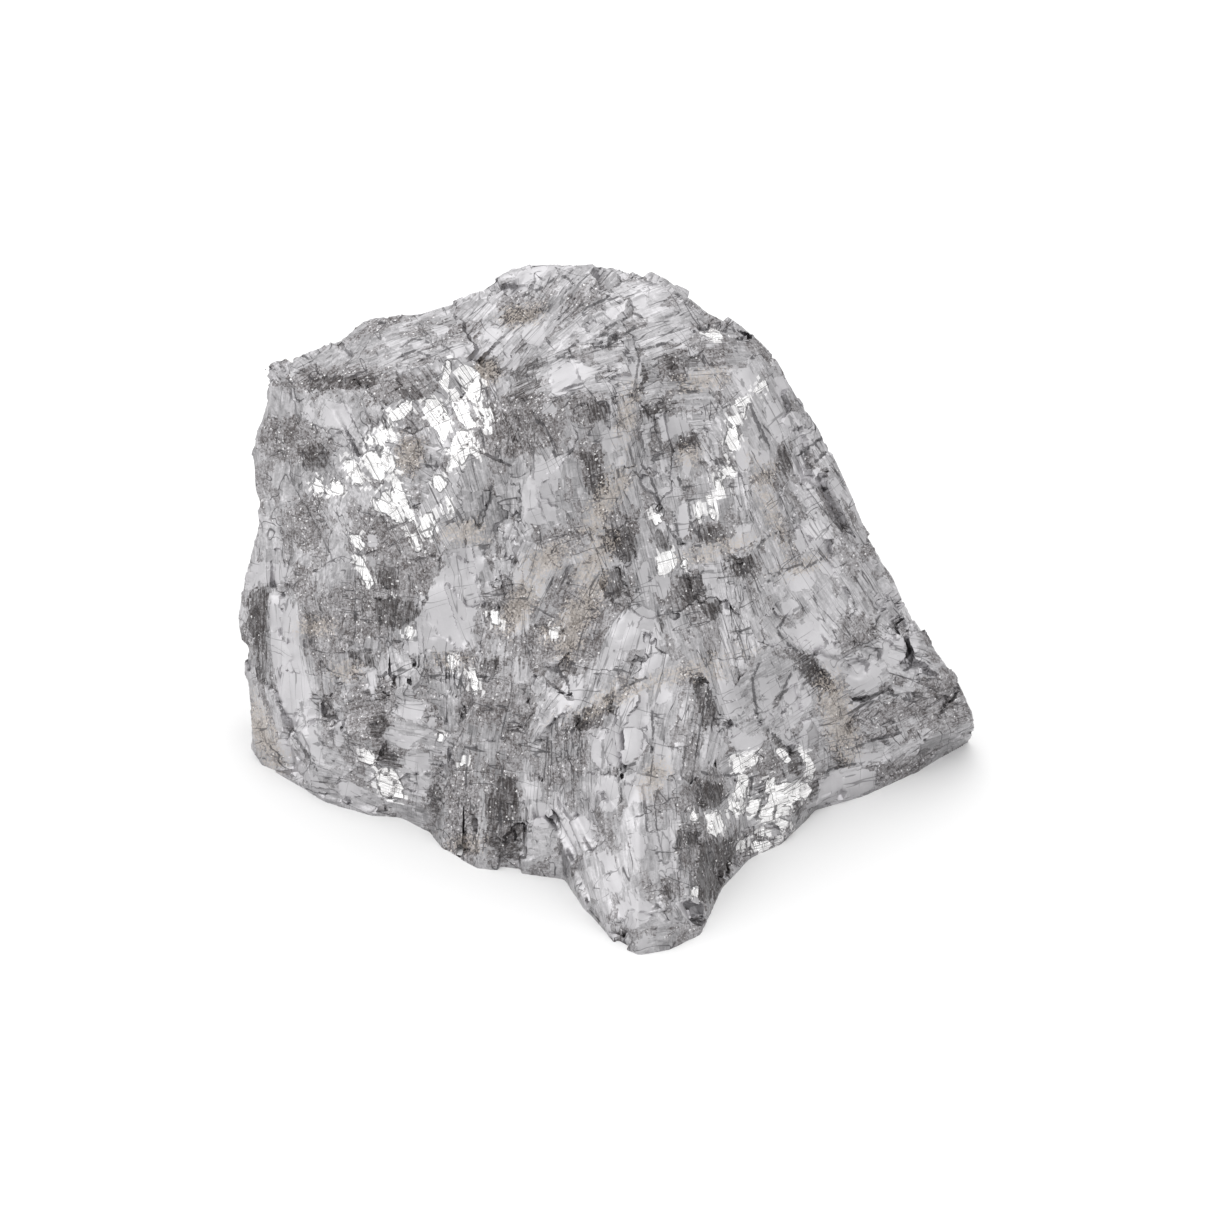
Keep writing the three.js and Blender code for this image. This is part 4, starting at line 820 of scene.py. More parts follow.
def shape_field(across, up, shapes, closed=True):
    """How deep inside the nearest shape each place lies, in mm: over 0 inside, under 0 outside.

    A place is inside a closed shape where a level line from it crosses the edges an odd number of times.
    An open shape is a line and has no inside.
    """
    field = np.full(across.shape, -FIELD_REACH_MM)
    for shape in shapes:
        corners = np.array(shape, dtype=float).reshape(-1, 2)
        low = corners.min(axis=0) - FIELD_REACH_MM
        high = corners.max(axis=0) + FIELD_REACH_MM
        near = np.flatnonzero((across > low[0]) & (across < high[0]) & (up > low[1]) & (up < high[1]))
        spots = np.stack([across[near], up[near]], axis=1)
        ends = np.roll(corners, -1, axis=0)
        if not closed:
            corners, ends = corners[:-1], ends[:-1]
        gap = np.full(len(near), FIELD_REACH_MM)
        inside = np.zeros(len(near), dtype=bool)
        for start, end in zip(corners, ends):
            gap = np.minimum(gap, edge_gap(spots, start, end))
            if closed and start[1] != end[1]:
                crossed = (start[1] > spots[:, 1]) != (end[1] > spots[:, 1])
                place = start[0] + (spots[:, 1] - start[1]) * (end[0] - start[0]) / (end[1] - start[1])
                inside ^= crossed & (spots[:, 0] < place)
        field[near] = np.maximum(field[near], np.where(inside, gap, -gap))
    return field


def surface_fields(places, normals):
    """The fields that say what kind of break each place is.

    On the show side they come from the shapes. Elsewhere each one is smooth noise with a cover of its own,
    and there are no named cracks.
    """
    across, up, facing = show_places(places, normals)
    shown = fade(facing, *SHOWN_FACING)
    fields = {
        "bright": shape_field(across, up, PAINTED_REFLECTIONS),
        "smooth": shape_field(across, up, PLATES),
        "grainy": patch_field(across, up, GRAINY),
        "dark": shape_field(across, up, HOLLOWS_WITH_PAINTED_SHADE),
        "stained": patch_field(across, up, STAINED),
        "painted_shade": patch_field(across, up, PAINTED_SHADE_PATCHES),
        "painted_light": patch_field(across, up, PAINTED_LIGHT_PATCHES),
        "cracked": shape_field(across, up, SEAMS, closed=False),
    }
    for number, (name, cover) in enumerate(HIDDEN_COVER_MM.items()):
        hidden = layered_waves(places, HIDDEN_NOISE, number) + cover
        fields[name] = fields[name] * shown + hidden * (1 - shown)
    fields["cracked"] = fields["cracked"] * shown - FIELD_REACH_MM * (1 - shown)
    return fields


# ------------------------------------------------------------------ the lump's mesh


def applied(piece, modifier_type, **values):
    """Applies one modifier with these values to a mesh object."""
    modifier = piece.modifiers.new(modifier_type, modifier_type)
    for name, value in values.items():
        setattr(modifier, name, value)
    graph = bpy.context.evaluated_depsgraph_get()
    finished = bpy.data.meshes.new_from_object(piece.evaluated_get(graph))
    piece.modifiers.clear()
    old = piece.data
    piece.data = finished
    bpy.data.meshes.remove(old)


def store_fields(mesh, subgrains):
    """Writes the fields to the vertices, and each face's grain directions to the faces."""
    places = vertex_places_mm(mesh)
    for name, values in surface_fields(places, vertex_rows(mesh, "normal")).items():
        attribute = mesh.attributes.new(name, "FLOAT", "POINT")
        attribute.data.foreach_set("value", values.astype(np.float32))

    centres = np.empty(len(mesh.polygons) * 3, dtype=np.float32)
    mesh.polygons.foreach_get("center", centres)
    seeds, frames = subgrains
    grain = nearest_subgrain(centres.reshape(-1, 3).astype(np.float64) / MM, seeds)
    for row, name in enumerate(("grain_along", "grain_across")):
        attribute = mesh.attributes.new(name, "FLOAT_VECTOR", "FACE")
        attribute.data.foreach_set("vector", frames[grain, row].astype(np.float32).ravel())


def lump_mesh(settings):
    """The CAD solid remeshed finely, broken along its cleavage, thinned, with its fields stored."""
    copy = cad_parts[NODE].data.copy()
    piece = bpy.data.objects.new(PIECE, copy)
    bpy.context.scene.collection.objects.link(piece)
    applied(piece, "WELD", merge_threshold=WELD_GAP)
    applied(piece, "REMESH", mode="VOXEL", voxel_size=settings.remesh_size, adaptivity=0.0)
    applied(piece, "SMOOTH", factor=SMOOTHING_SHARE, iterations=SMOOTHING_STEPS)
    subgrains = crystal_subgrains(vertex_places_mm(piece.data), vertex_rows(piece.data, "normal"))
    break_along_cleavage(piece.data, settings, subgrains)
    applied(piece, "TRIANGULATE")
    ratio = min(1.0, settings.triangle_limit / len(piece.data.polygons))
    applied(piece, "DECIMATE", decimate_type="COLLAPSE", ratio=ratio)
    store_fields(piece.data, subgrains)
    piece.data.polygons.foreach_set("use_smooth", np.ones(len(piece.data.polygons), dtype=bool))
    piece.data.set_sharp_from_angle(angle=SHARP_ANGLE)
    piece.data.name = PIECE
    return piece


# ------------------------------------------------------------------ node helpers

VECTOR = "NodeSocketVector"
FLOAT = "NodeSocketFloat"
# Each noise: its waves per mm, its detail and its roughness.
NOISES = {
    "brick wander": (0.7, 1.0, 0.5),
    "crack cover": (0.9, 2.0, 0.6),
    "crumb wander": (4.0, 2.0, 0.5),
    "patch warp": (0.8, 4.0, 0.65),
    "hairline": (1.0, 1.0, 0.5),
    "hairline cover": (0.7, 2.0, 0.5),
    "tear": (1.3, 5.0, 0.7),
    "rim cover": (0.6, 2.0, 0.5),
    "streak": (1.0, 2.0, 0.6),
    "grit": (4.5, 4.0, 0.75),
    "drift": (0.16, 3.0, 0.5),
    "blotch": (0.9, 2.0, 0.5),
    "seam wander": (2.2, 3.0, 0.7),
}
# Nearly all of a noise's values lie between these.
NOISE_SPAN = (0.3, 0.7)


class Graph:
    """Adds nodes to one node tree and links what feeds them. A value is a socket or a constant."""

    def __init__(self, tree):
        self.tree = tree

    def add(self, kind, inputs=None, **settings):
        """A new node with these settings, fed with these values."""
        node = self.tree.nodes.new(kind)
        for name, value in settings.items():
            setattr(node, name, value)
        for name, value in (inputs or {}).items():
            self.feed(node.inputs[name], value)
        return node

    def feed(self, socket, value):
        if isinstance(value, bpy.types.NodeSocket):
            self.tree.links.new(value, socket)
        else:
            socket.default_value = value

    def placed(self, group, **inputs):
        """The outputs of a node group that is fed with these values."""
        return self.add("ShaderNodeGroup", inputs, node_tree=group).outputs

    def finished(self, sink, **values):
        """Feeds a group's output node, and gives back the group."""
        for name, value in values.items():
            self.feed(sink.inputs[name], value)
        return self.tree

    def attribute(self, name, output="Fac"):
        node = self.add("ShaderNodeAttribute", attribute_type="GEOMETRY", attribute_name=name)
        return node.outputs[output]

    def math(self, operation, *values):
        """The result of one step of arithmetic."""
        return self.add("ShaderNodeMath", dict(enumerate(values)), operation=operation).outputs[0]

    def plus(self, first, second):
        return self.math("ADD", first, second)

    def minus(self, first, second):
        return self.math("SUBTRACT", first, second)

    def times(self, first, second):
        return self.math("MULTIPLY", first, second)

    def most(self, first, *others):
        """The greatest of some values."""
        for value in others:
            first = self.math("MAXIMUM", first, value)
        return first

    def sum_of(self, start, *parts):
        """The start value, plus each part's value times its share."""
        for value, share in parts:
            start = self.math("MULTIPLY_ADD", value, share, start)
        return start

    def vector(self, operation, *values):
        node = self.add("ShaderNodeVectorMath", dict(enumerate(values)), operation=operation)
        return node.outputs["Value" if operation == "DOT_PRODUCT" else "Vector"]

    def scaled(self, vector, scale):
        node = self.add("ShaderNodeVectorMath", {0: vector, "Scale": scale}, operation="SCALE")
        return node.outputs["Vector"]

    def centred(self, vector):
        """A vector of values from 0 to 1, moved to lie from -0.5 to 0.5."""
        return self.vector("SUBTRACT", vector, (0.5, 0.5, 0.5))

    def remap(self, value, low, high, start=0.0, end=1.0, smooth=True):
        """Start at low and under it, end at high and over it, and a step between them."""
        node = self.add(
            "ShaderNodeMapRange",
            {"Value": value, "From Min": low, "From Max": high, "To Min": start, "To Max": end},
            interpolation_type="SMOOTHSTEP" if smooth else "LINEAR",
        )
        return node.outputs["Result"]

    def blend(self, factor, first, second):
        """A colour between two colours. A Mix node's colours are its inputs 6 and 7 and its output 2."""
        node = self.add("ShaderNodeMix", {"Factor": factor, 6: first, 7: second}, data_type="RGBA")
        return node.outputs[2]

    def mix(self, factor, first, second):
        """A number between two numbers. A Mix node's numbers are its inputs 2 and 3 and its output 0."""
        node = self.add("ShaderNodeMix", {"Factor": factor, 2: first, 3: second}, data_type="FLOAT")
        return node.outputs[0]

    def noise(self, name, vector, output="Fac"):
        """One of the named noises, read at a vector."""
        scale, detail, rough = NOISES[name]
        inputs = {"Vector": vector, "Scale": scale, "Detail": detail, "Roughness": rough}
        return self.add("ShaderNodeTexNoise", inputs).outputs[output]

    def chance(self, key):
        """Random outputs for each value of a vector: Value is a number and Color is three."""
        return self.add("ShaderNodeTexWhiteNoise", {"Vector": key}, noise_dimensions="3D").outputs

    def cell_chance(self, vector, scale=1.0):
        """Random outputs for the uneven cell that each place lies in."""
        inputs = {"Vector": vector, "Scale": scale, "Randomness": 1.0}
        return self.chance(self.add("ShaderNodeTexVoronoi", inputs).outputs["Color"])


def node_group(name, inputs, outputs):
    """The graph of a new shader node group, the sockets of what it is given, and its output node."""
    tree = bpy.data.node_groups.new(name, "ShaderNodeTree")
    for side, sockets in (("INPUT", inputs), ("OUTPUT", outputs)):
        for socket, kind in sockets.items():
            tree.interface.new_socket(socket, in_out=side, socket_type=kind)
    graph = Graph(tree)
    return graph, graph.add("NodeGroupInput").outputs, graph.add("NodeGroupOutput")


# ------------------------------------------------------------------ node groups

# An edge is a pair: where a line or patch starts to fade, and where it ends. For cracks and hairlines it is
# in shares of their width. Shown is the pair of noise values between which broken noise lets a line show.

# For the cracks across each direction of a brick: how the noise that hides parts of them is stretched.
CRACK_STRETCH = {"Length": (4.0, 1.2, 1.2), "Width": (0.35, 4.0, 1.0), "Depth": (0.35, 1.0, 4.0)}
CRACK_EDGE = (0.45, 1.0)
CRACK_SHOWN = (0.62, 0.7)

CRUMB_WANDER_MM = 0.25
PATCH_WARP_MM = 2.6
PATCH_STRETCH = (0.4, 0.95, 0.7)

# For each of the two sets of hairlines: how its noise is stretched, how far it is pushed, and how much less
# of it shows. The noise that hides parts of them is pushed too, so that it differs from theirs.
HAIRLINE_SETS = (((0.12, 1.2, 0.4), 0.0, 0.0), ((1.0, 0.14, 0.4), 17.0, 0.05))
HAIRLINE_COVER_PUSH = 5.0
HAIRLINE_EDGE = (0.3, 1.0)
HAIRLINE_SHOWN = (0.5, 0.56)

RIM_EDGE_MM = (0.04, 0.1)
RIM_SHOWN = (0.48, 0.54)


def bricks_group():
    """Cleavage bricks: cracks along three square directions, and a random tone and tilt per brick.

    Place is in mm in the grain's own directions, and each direction has planes at uneven distances. Edge is
    drawn all along the planes of the first two directions. Line is drawn along all three where broken
    noise lets it show.
    """
    graph, given, sink = node_group(
        "cleavage_bricks",
        {"Place": VECTOR, "Length": FLOAT, "Width": FLOAT, "Depth": FLOAT,
         "Crack": FLOAT, "Cover": FLOAT, "Wander": FLOAT},
        {"Line": FLOAT, "Edge": FLOAT, "Tone": FLOAT, "Tilt": VECTOR},
    )
    wander = graph.centred(graph.noise("brick wander", given["Place"], "Color"))
    warped = graph.vector("ADD", given["Place"], graph.scaled(wander, given["Wander"]))
    split = graph.add("ShaderNodeSeparateXYZ", {0: warped}).outputs
    numbers = []
    lines = []
    edges = []
    for axis, (size, stretch) in enumerate(CRACK_STRETCH.items()):
        counted = {"W": graph.math("DIVIDE", split[axis], given[size]), "Scale": 1.0}
        cells = graph.add("ShaderNodeTexVoronoi", counted, voronoi_dimensions="1D")
        plane = graph.add(
            "ShaderNodeTexVoronoi", counted, voronoi_dimensions="1D", feature="DISTANCE_TO_EDGE",
        )
        gap = graph.times(plane.outputs["Distance"], given[size])
        edge = graph.remap(graph.math("DIVIDE", gap, given["Crack"]), *CRACK_EDGE, 1.0, 0.0)
        patchy = graph.noise("crack cover", graph.vector("MULTIPLY", warped, stretch))
        shown = graph.remap(graph.plus(patchy, given["Cover"]), *CRACK_SHOWN)
        numbers.append(cells.outputs["Color"])
        lines.append(graph.times(edge, shown))
        edges.append(edge)
    brick = graph.vector("ADD", graph.vector("ADD", numbers[0], numbers[1]), numbers[2])
    chance = graph.chance(brick)
    return graph.finished(
        sink, Line=graph.most(*lines), Edge=graph.most(edges[0], edges[1]),
        Tone=chance["Value"], Tilt=graph.centred(chance["Color"]),
    )


def crumbs_group():
    """Granular break: random tone and tilt in small uneven cells. Place and Size are in mm."""
    graph, given, sink = node_group(
        "granular_crumbs", {"Place": VECTOR, "Size": FLOAT}, {"Tone": FLOAT, "Tilt": VECTOR},
    )
    wander = graph.scaled(graph.noise("crumb wander", given["Place"], "Color"), CRUMB_WANDER_MM)
    warped = graph.vector("ADD", given["Place"], wander)
    chance = graph.cell_chance(warped, graph.math("DIVIDE", 1.0, given["Size"]))
    return graph.finished(sink, Tone=chance["Value"], Tilt=graph.centred(chance["Color"]))


def patches_group():
    """Uneven patches of the break, a few mm long, with jagged edges: a random number for each patch."""
    graph, given, sink = node_group("break_patches", {"Place": VECTOR}, {"Tone": FLOAT})
    warp = graph.centred(graph.noise("patch warp", given["Place"], "Color"))
    warped = graph.vector("ADD", given["Place"], graph.scaled(warp, PATCH_WARP_MM))
    stretched = graph.vector("MULTIPLY", warped, PATCH_STRETCH)
    return graph.finished(sink, Tone=graph.cell_chance(stretched)["Value"])


def hairlines_group():
    """Thin wavy cracks: level lines of noise that is stretched along each of two cleavage directions."""
    graph, given, sink = node_group(
        "hairline_cracks", {"Place": VECTOR, "Width": FLOAT, "Cover": FLOAT}, {"Line": FLOAT},
    )
    lines = []
    for stretch, push, less in HAIRLINE_SETS:
        pushed = graph.vector("ADD", given["Place"], (push, push, push))
        stretched = graph.vector("MULTIPLY", pushed, stretch)
        off_level = graph.math("ABSOLUTE", graph.minus(graph.noise("hairline", stretched), 0.5))
        near = graph.remap(graph.math("DIVIDE", off_level, given["Width"]), *HAIRLINE_EDGE, 1.0, 0.0)
        cover_push = (push, HAIRLINE_COVER_PUSH, push)
        patchy = graph.noise("hairline cover", graph.vector("ADD", stretched, cover_push))
        shown = graph.remap(graph.plus(patchy, graph.minus(given["Cover"], less)), *HAIRLINE_SHOWN)
        lines.append(graph.times(near, shown))
    return graph.finished(sink, Line=graph.most(*lines))


def ragged_group():
    """Turns a field into a mask with a torn, blocky edge.

    Noise (Tear) and each brick's own chance (Block) shift the field, in mm, and the mask is cut where the
    sum is 0, over a width set by Soft. Rim is a thin line along that edge, where noise lets it show.
    """
    graph, given, sink = node_group(
        "ragged_edge",
        {"Field": FLOAT, "Place": VECTOR, "Tear": FLOAT, "Chance": FLOAT, "Block": FLOAT, "Soft": FLOAT},
        {"Mask": FLOAT, "Rim": FLOAT},
    )
    tear = graph.minus(graph.noise("tear", given["Place"]), 0.5)
    block = graph.minus(given["Chance"], 0.5)
    torn = graph.sum_of(given["Field"], (tear, given["Tear"]), (block, given["Block"]))
    mask = graph.remap(torn, graph.times(given["Soft"], -1.0), given["Soft"])
    line = graph.remap(graph.math("ABSOLUTE", torn), *RIM_EDGE_MM, 1.0, 0.0)
    shown = graph.remap(graph.noise("rim cover", given["Place"]), *RIM_SHOWN)
    return graph.finished(sink, Mask=mask, Rim=graph.times(line, shown))


# ------------------------------------------------------------------ material

# The bricks drawn on the metal. Cover is how much of their cracks shows, the rest is in mm.
LARGE_BRICKS = {"Length": 3.2, "Width": 1.3, "Depth": 0.8, "Crack": 0.055, "Cover": -0.01, "Wander": 0.2}
SMALL_BRICKS = {"Length": 1.1, "Width": 0.34, "Depth": 0.26, "Crack": 0.035, "Cover": -0.03, "Wander": 0.12}
HAIRLINES = {"Width": 0.018, "Cover": 0.03}
CRUMB_MM = 0.16
# Streaks: how their noise is stretched in the grain's directions, and the values that they grow between.
STREAK_STRETCH = (0.5, 5.0, 3.0)
STREAK_SPAN = (0.35, 0.65)
# Patches of the break whose chance is over these are granular as a whole, up to this cover.
GRANULAR_CHANCE = (0.78, 0.8)
GRANULAR_COVER = 0.8

# Each mask: the field it is cut from, how far it grows past that field's edge, how far noise and single
# bricks shift the edge, and how soft the edge is. All are in mm.
MASKS = {
    # The bright masks are painted reflections, and the dark mask is painted shade in the hollows.
    "bright": ("bright", 0.15, 0.5, 0.14, 0.02),
    "painted_flake": ("bright", 0.05, 0.4, 1.5, 0.03),
    "smooth": ("smooth", 0.04, 0.15, 0.4, 0.03),
    "grainy": ("grainy", 0.0, 1.5, 0.9, 0.1),
    "dark": ("dark", 0.13, 0.7, 0.5, 0.05),
    "stained": ("stained", 0.0, 2.2, 1.4, 0.3),
}

# How much of the grit shows on a flat plate.
PLATE_GRIT = 0.2
# The least tone of a flat plate, what is taken off it elsewhere, and what each pattern adds at most.
PLATE_TONE = 0.93
BROKEN_TONE = -0.4
# Among the tones are the painted shade and the painted light.
TONES = {
    "grain": 0.16, "large brick": 0.08, "small brick": 0.3, "streak": 0.26, "patch": -0.24,
    "crumb": 0.12, "grit": 0.09, "drift": 0.08, "painted_shade_tone": -0.1, "painted_light": 0.12,
}
# Soft edge of the painted shade and painted light patches, in mm.
PAINTED_PATCH_EDGE_MM = (-0.5, 0.6)
# The granular break lies between dark metal at 0 and clean metal at 1. What each pattern adds to that.
# Its hollow share is painted shade in the hollows.
CRUMB_SHARES = {"crumb": 0.5, "streak": 0.26, "hollow": -0.08, "grit": (-0.15, 0.4), "blotch": (-0.3, 0.08)}
CRUMB_LIGHTNESS = 1.1
# How far painted shade darkens a hollow, what each pattern takes off that, and the painted shade's share of
# dark metal.
PAINTED_SHADE_COVER = 0.98
PAINTED_SHADE_SHARES = {"streak": -0.55, "crumb": -0.2}
PAINTED_SHADE_DARKNESS = 0.5
# The least tone of stain and of the painted reflections, and what their crumbs or bricks and streaks add.
STAIN_TONE = 0.5
STAIN_CRUMB = 0.7
PAINTED_REFLECTION_TONE = 0.76
PAINTED_REFLECTION_BRICK = 0.14
# Only crumbs whose chance is over these get a painted glint.
GLINT_CHANCE = (0.975, 0.985)
# The named cracks: how far they wander, and their soft edge, in mm.
SEAM_WANDER_MM = 0.5
SEAM_EDGE_MM = (0.05, 0.15)

# How much of what lies under it each layer hides at most.
STAIN_COVER = 0.6
PAINTED_FLAKE_COVER = 0.6
GLINT_COVER = 0.6
CRACK_COVER = 0.75
PLATE_CRACK_COVER = 0.5

# How strong each kind of line is against a full crack.
MIRROR_GROOVE = 0.9
SMALL_GROOVE = 0.35
PLATE_RIM = 0.35

ROUGHNESS = {"metal": 0.3, "brick": 0.08, "plate": 0.42, "granular": 0.45, "mirror": 0.2, "stain": 0.55}
STAIN_METALLIC = 0.6

# How far the normal leans in large bricks, in small bricks off the plates, and in crumbs.
LARGE_TILT = 0.08
SMALL_TILT = 0.14
CRUMB_TILT = 0.35
GRIT_BUMP = 0.3
BUMP_STRENGTH = 0.3
BUMP_DEPTH_MM = 0.04

CARD_COLOUR = (0.9, 0.9, 0.9, 1.0)
CARD_ROUGHNESS = 0.9


def rgba(colour, share=1.0):
    """A colour times a share, with full alpha."""
    return (*[channel * share for channel in colour], 1.0)


def grain_space(graph):
    """The place in mm, the grain's ledge direction, and the place in mm in the grain's own directions."""
    place = graph.scaled(graph.add("ShaderNodeTexCoord").outputs["Object"], 1.0 / MM)
    along = graph.attribute("grain_along", "Vector")
    across = graph.attribute("grain_across", "Vector")
    directions = (along, across, graph.vector("CROSS_PRODUCT", along, across))
    parts = {axis: graph.vector("DOT_PRODUCT", place, way) for axis, way in enumerate(directions)}
    return place, along, graph.add("ShaderNodeCombineXYZ", parts).outputs[0]


def torn_masks(graph, place, brick_chance, crumb_chance):
    """A mask with a torn edge for each row of MASKS, and the thin rims along those edges."""
    ragged = ragged_group()
    masks = {}
    rims = {}
    for name, (field, growth, tear, block, soft) in MASKS.items():
        torn = graph.placed(
            ragged, Field=graph.plus(graph.attribute(field), growth), Place=place, Tear=tear,
            Chance=crumb_chance if name == "stained" else brick_chance, Block=block, Soft=soft,
        )
        masks[name] = torn["Mask"]
        rims[name] = torn["Rim"]
    return masks, rims


class Patterns:
    """What the metal is drawn from, as sockets of one graph.

    off_plates is 0 on the flat plates and 1 elsewhere. rough_break is 1 where the break is granular.
    """

    def __init__(self, graph):
        self.place, self.along, local = grain_space(graph)
        bricks = bricks_group()
        self.large = graph.placed(bricks, Place=local, **LARGE_BRICKS)
        self.small = graph.placed(bricks, Place=local, **SMALL_BRICKS)
        self.crumb = graph.placed(crumbs_group(), Place=self.place, Size=CRUMB_MM)
        self.patch = graph.placed(patches_group(), Place=local)["Tone"]
        self.hairline = graph.placed(hairlines_group(), Place=local, **HAIRLINES)["Line"]
        streaks = graph.noise("streak", graph.vector("MULTIPLY", local, STREAK_STRETCH))
        self.streak = graph.remap(streaks, *STREAK_SPAN, smooth=False)
        self.grit = graph.noise("grit", self.place)
        self.masks, self.rims = torn_masks(graph, self.place, self.small["Tone"], self.crumb["Tone"])
        self.off_plates = graph.minus(1.0, self.masks["smooth"])
        whole_patches = graph.remap(self.patch, *GRANULAR_CHANCE, 0.0, GRANULAR_COVER)
        grainy = graph.most(self.masks["grainy"], whole_patches)
        self.rough_break = graph.times(grainy, self.off_plates)


def painted_light_and_shade(graph):
    """How much painted shade darkens and painted light lightens the metal's tone; out of view they follow
    noise.
    """
    painted_shade_tone = graph.remap(graph.attribute("painted_shade"), *PAINTED_PATCH_EDGE_MM, 0.0, TONES["painted_shade_tone"])
    painted_light = graph.remap(graph.attribute("painted_light"), *PAINTED_PATCH_EDGE_MM, 0.0, TONES["painted_light"])
    return graph.plus(painted_shade_tone, painted_light)


def clean_metal(graph, seen, settings, painted_light_and_shade_tone):
    """The colour of bare metal: a tone per grain and brick, with grit, and streaks off the plates."""
    tone = graph.sum_of(
        PLATE_TONE,
        (graph.chance(seen.along)["Value"], TONES["grain"]),
        (seen.large["Tone"], TONES["large brick"]),
    )
    broken_tone = graph.sum_of(
        BROKEN_TONE,
        (seen.small["Tone"], TONES["small brick"]),
        (seen.streak, TONES["streak"]),
        (seen.patch, TONES["patch"]),
    )
    drift = graph.remap(graph.noise("drift", seen.place), *NOISE_SPAN, -TONES["drift"], TONES["drift"])
    grit = graph.remap(seen.grit, *NOISE_SPAN, -TONES["grit"], TONES["grit"], smooth=False)
    grit = graph.sum_of(grit, (graph.minus(seen.crumb["Tone"], 0.5), TONES["crumb"]))
    grit_share = graph.sum_of(PLATE_GRIT, (seen.off_plates, 1 - PLATE_GRIT))
    # Painted shade and painted light go into the tone here.
    tone = graph.plus(graph.plus(tone, drift), painted_light_and_shade_tone)
    tone = graph.sum_of(tone, (broken_tone, seen.off_plates), (grit, grit_share))
    return graph.scaled(settings.metal_colour, tone)


def granular_metal(graph, seen, settings, painted_light_and_shade_tone):
    """The colour of the granular break: crumbs from dark to clean metal, in streaks and blotches."""
    grit = graph.remap(seen.grit, *NOISE_SPAN, *CRUMB_SHARES["grit"], smooth=False)
    blotch = graph.noise("blotch", seen.place)
    blotch = graph.remap(blotch, *NOISE_SPAN, *CRUMB_SHARES["blotch"], smooth=False)
    # Painted shade and painted light shift the share here too.
    share = graph.sum_of(
        graph.plus(graph.plus(grit, blotch), painted_light_and_shade_tone),
        (seen.crumb["Tone"], CRUMB_SHARES["crumb"]),
        (seen.streak, CRUMB_SHARES["streak"]),
        (seen.masks["dark"], CRUMB_SHARES["hollow"]),
    )
    return graph.blend(share, rgba(settings.dark_metal_and_shade_colour), rgba(settings.metal_colour, CRUMB_LIGHTNESS))


def shaded(graph, seen, settings, colour):
    """Paints shade into the hollows off the plates, less so on light streaks and crumbs."""
    cover = graph.sum_of(
        PAINTED_SHADE_COVER,
        (seen.streak, PAINTED_SHADE_SHARES["streak"]),
        (seen.crumb["Tone"], PAINTED_SHADE_SHARES["crumb"]),
    )
    cover = graph.times(graph.times(seen.masks["dark"], seen.off_plates), cover)
    return graph.blend(cover, colour, rgba(settings.dark_metal_and_shade_colour, PAINTED_SHADE_DARKNESS))


def stained(graph, seen, settings, colour):
    """Lays thin brown gangue over the stained places, lighter and darker by the crumb."""
    stain = graph.scaled(settings.stain_colour, graph.sum_of(STAIN_TONE, (seen.crumb["Tone"], STAIN_CRUMB)))
    return graph.blend(graph.times(seen.masks["stained"], STAIN_COVER), colour, stain)


def with_painted_reflections(graph, seen, settings, colour):
    """Paints reflections: near white on the mirror faces, thinner on the flakes round them, and as painted
    glints on a few crumbs.
    """
    tone = graph.sum_of(PAINTED_REFLECTION_TONE, (graph.plus(seen.small["Tone"], seen.streak), PAINTED_REFLECTION_BRICK))
    mirror = graph.scaled(settings.painted_reflection_colour, tone)
    out_of_hollows = graph.minus(1.0, seen.masks["dark"])
    painted_flake = graph.times(seen.masks["painted_flake"], graph.times(out_of_hollows, PAINTED_FLAKE_COVER))
    colour = graph.blend(painted_flake, colour, mirror)
    colour = graph.blend(seen.masks["bright"], colour, mirror)
    # Painted glints: near white colour on a few crumbs of the granular break.
    glint = graph.remap(seen.crumb["Tone"], *GLINT_CHANCE, 0.0, GLINT_COVER)
    return graph.blend(graph.times(glint, seen.rough_break), colour, rgba(settings.painted_reflection_colour))


def crack_lines(graph, seen):
    """How much of a crack each place is: between bricks, on hairlines, rims and the named cracks."""
    between = graph.most(seen.large["Line"], graph.times(seen.small["Line"], seen.off_plates))
    grooves = graph.most(seen.large["Edge"], graph.times(seen.small["Edge"], SMALL_GROOVE))
    grooves = graph.times(grooves, graph.times(seen.masks["bright"], MIRROR_GROOVE))
    rim = graph.most(seen.rims["bright"], graph.times(seen.rims["smooth"], PLATE_RIM))
    wander = graph.noise("seam wander", seen.place)
    seam = graph.sum_of(graph.attribute("cracked"), (wander, SEAM_WANDER_MM))
    named = graph.remap(seam, *SEAM_EDGE_MM)
    return graph.most(between, seen.hairline, grooves, rim, named)


def roughness(graph, seen):
    """How rough the metal is. Each later kind of surface lies over the ones before it."""
    rough = graph.sum_of(ROUGHNESS["metal"], (seen.small["Tone"], ROUGHNESS["brick"]))
    for mask, kind in (
        (seen.masks["smooth"], "plate"),
        (seen.rough_break, "granular"),
        (seen.masks["bright"], "mirror"),
        (seen.masks["stained"], "stain"),
    ):
        rough = graph.mix(mask, rough, ROUGHNESS[kind])
    return rough


def broken_normal(graph, seen, lines):
    """The normal, leaning its own way in each brick and crumb, with cracks and grit as fine bump."""
    normal = graph.add("ShaderNodeNewGeometry").outputs["Normal"]
    for tilt, share in (
        (seen.large["Tilt"], LARGE_TILT),
        (seen.small["Tilt"], graph.times(seen.off_plates, SMALL_TILT)),
        (seen.crumb["Tilt"], graph.times(seen.rough_break, CRUMB_TILT)),
    ):
        normal = graph.vector("ADD", normal, graph.scaled(tilt, share))
    height = graph.minus(graph.times(seen.grit, graph.times(seen.off_plates, GRIT_BUMP)), lines)
    bump = graph.add("ShaderNodeBump", {
        "Height": height, "Normal": graph.vector("NORMALIZE", normal),
        "Strength": BUMP_STRENGTH, "Distance": BUMP_DEPTH_MM * MM,
    })
    return bump.outputs["Normal"]


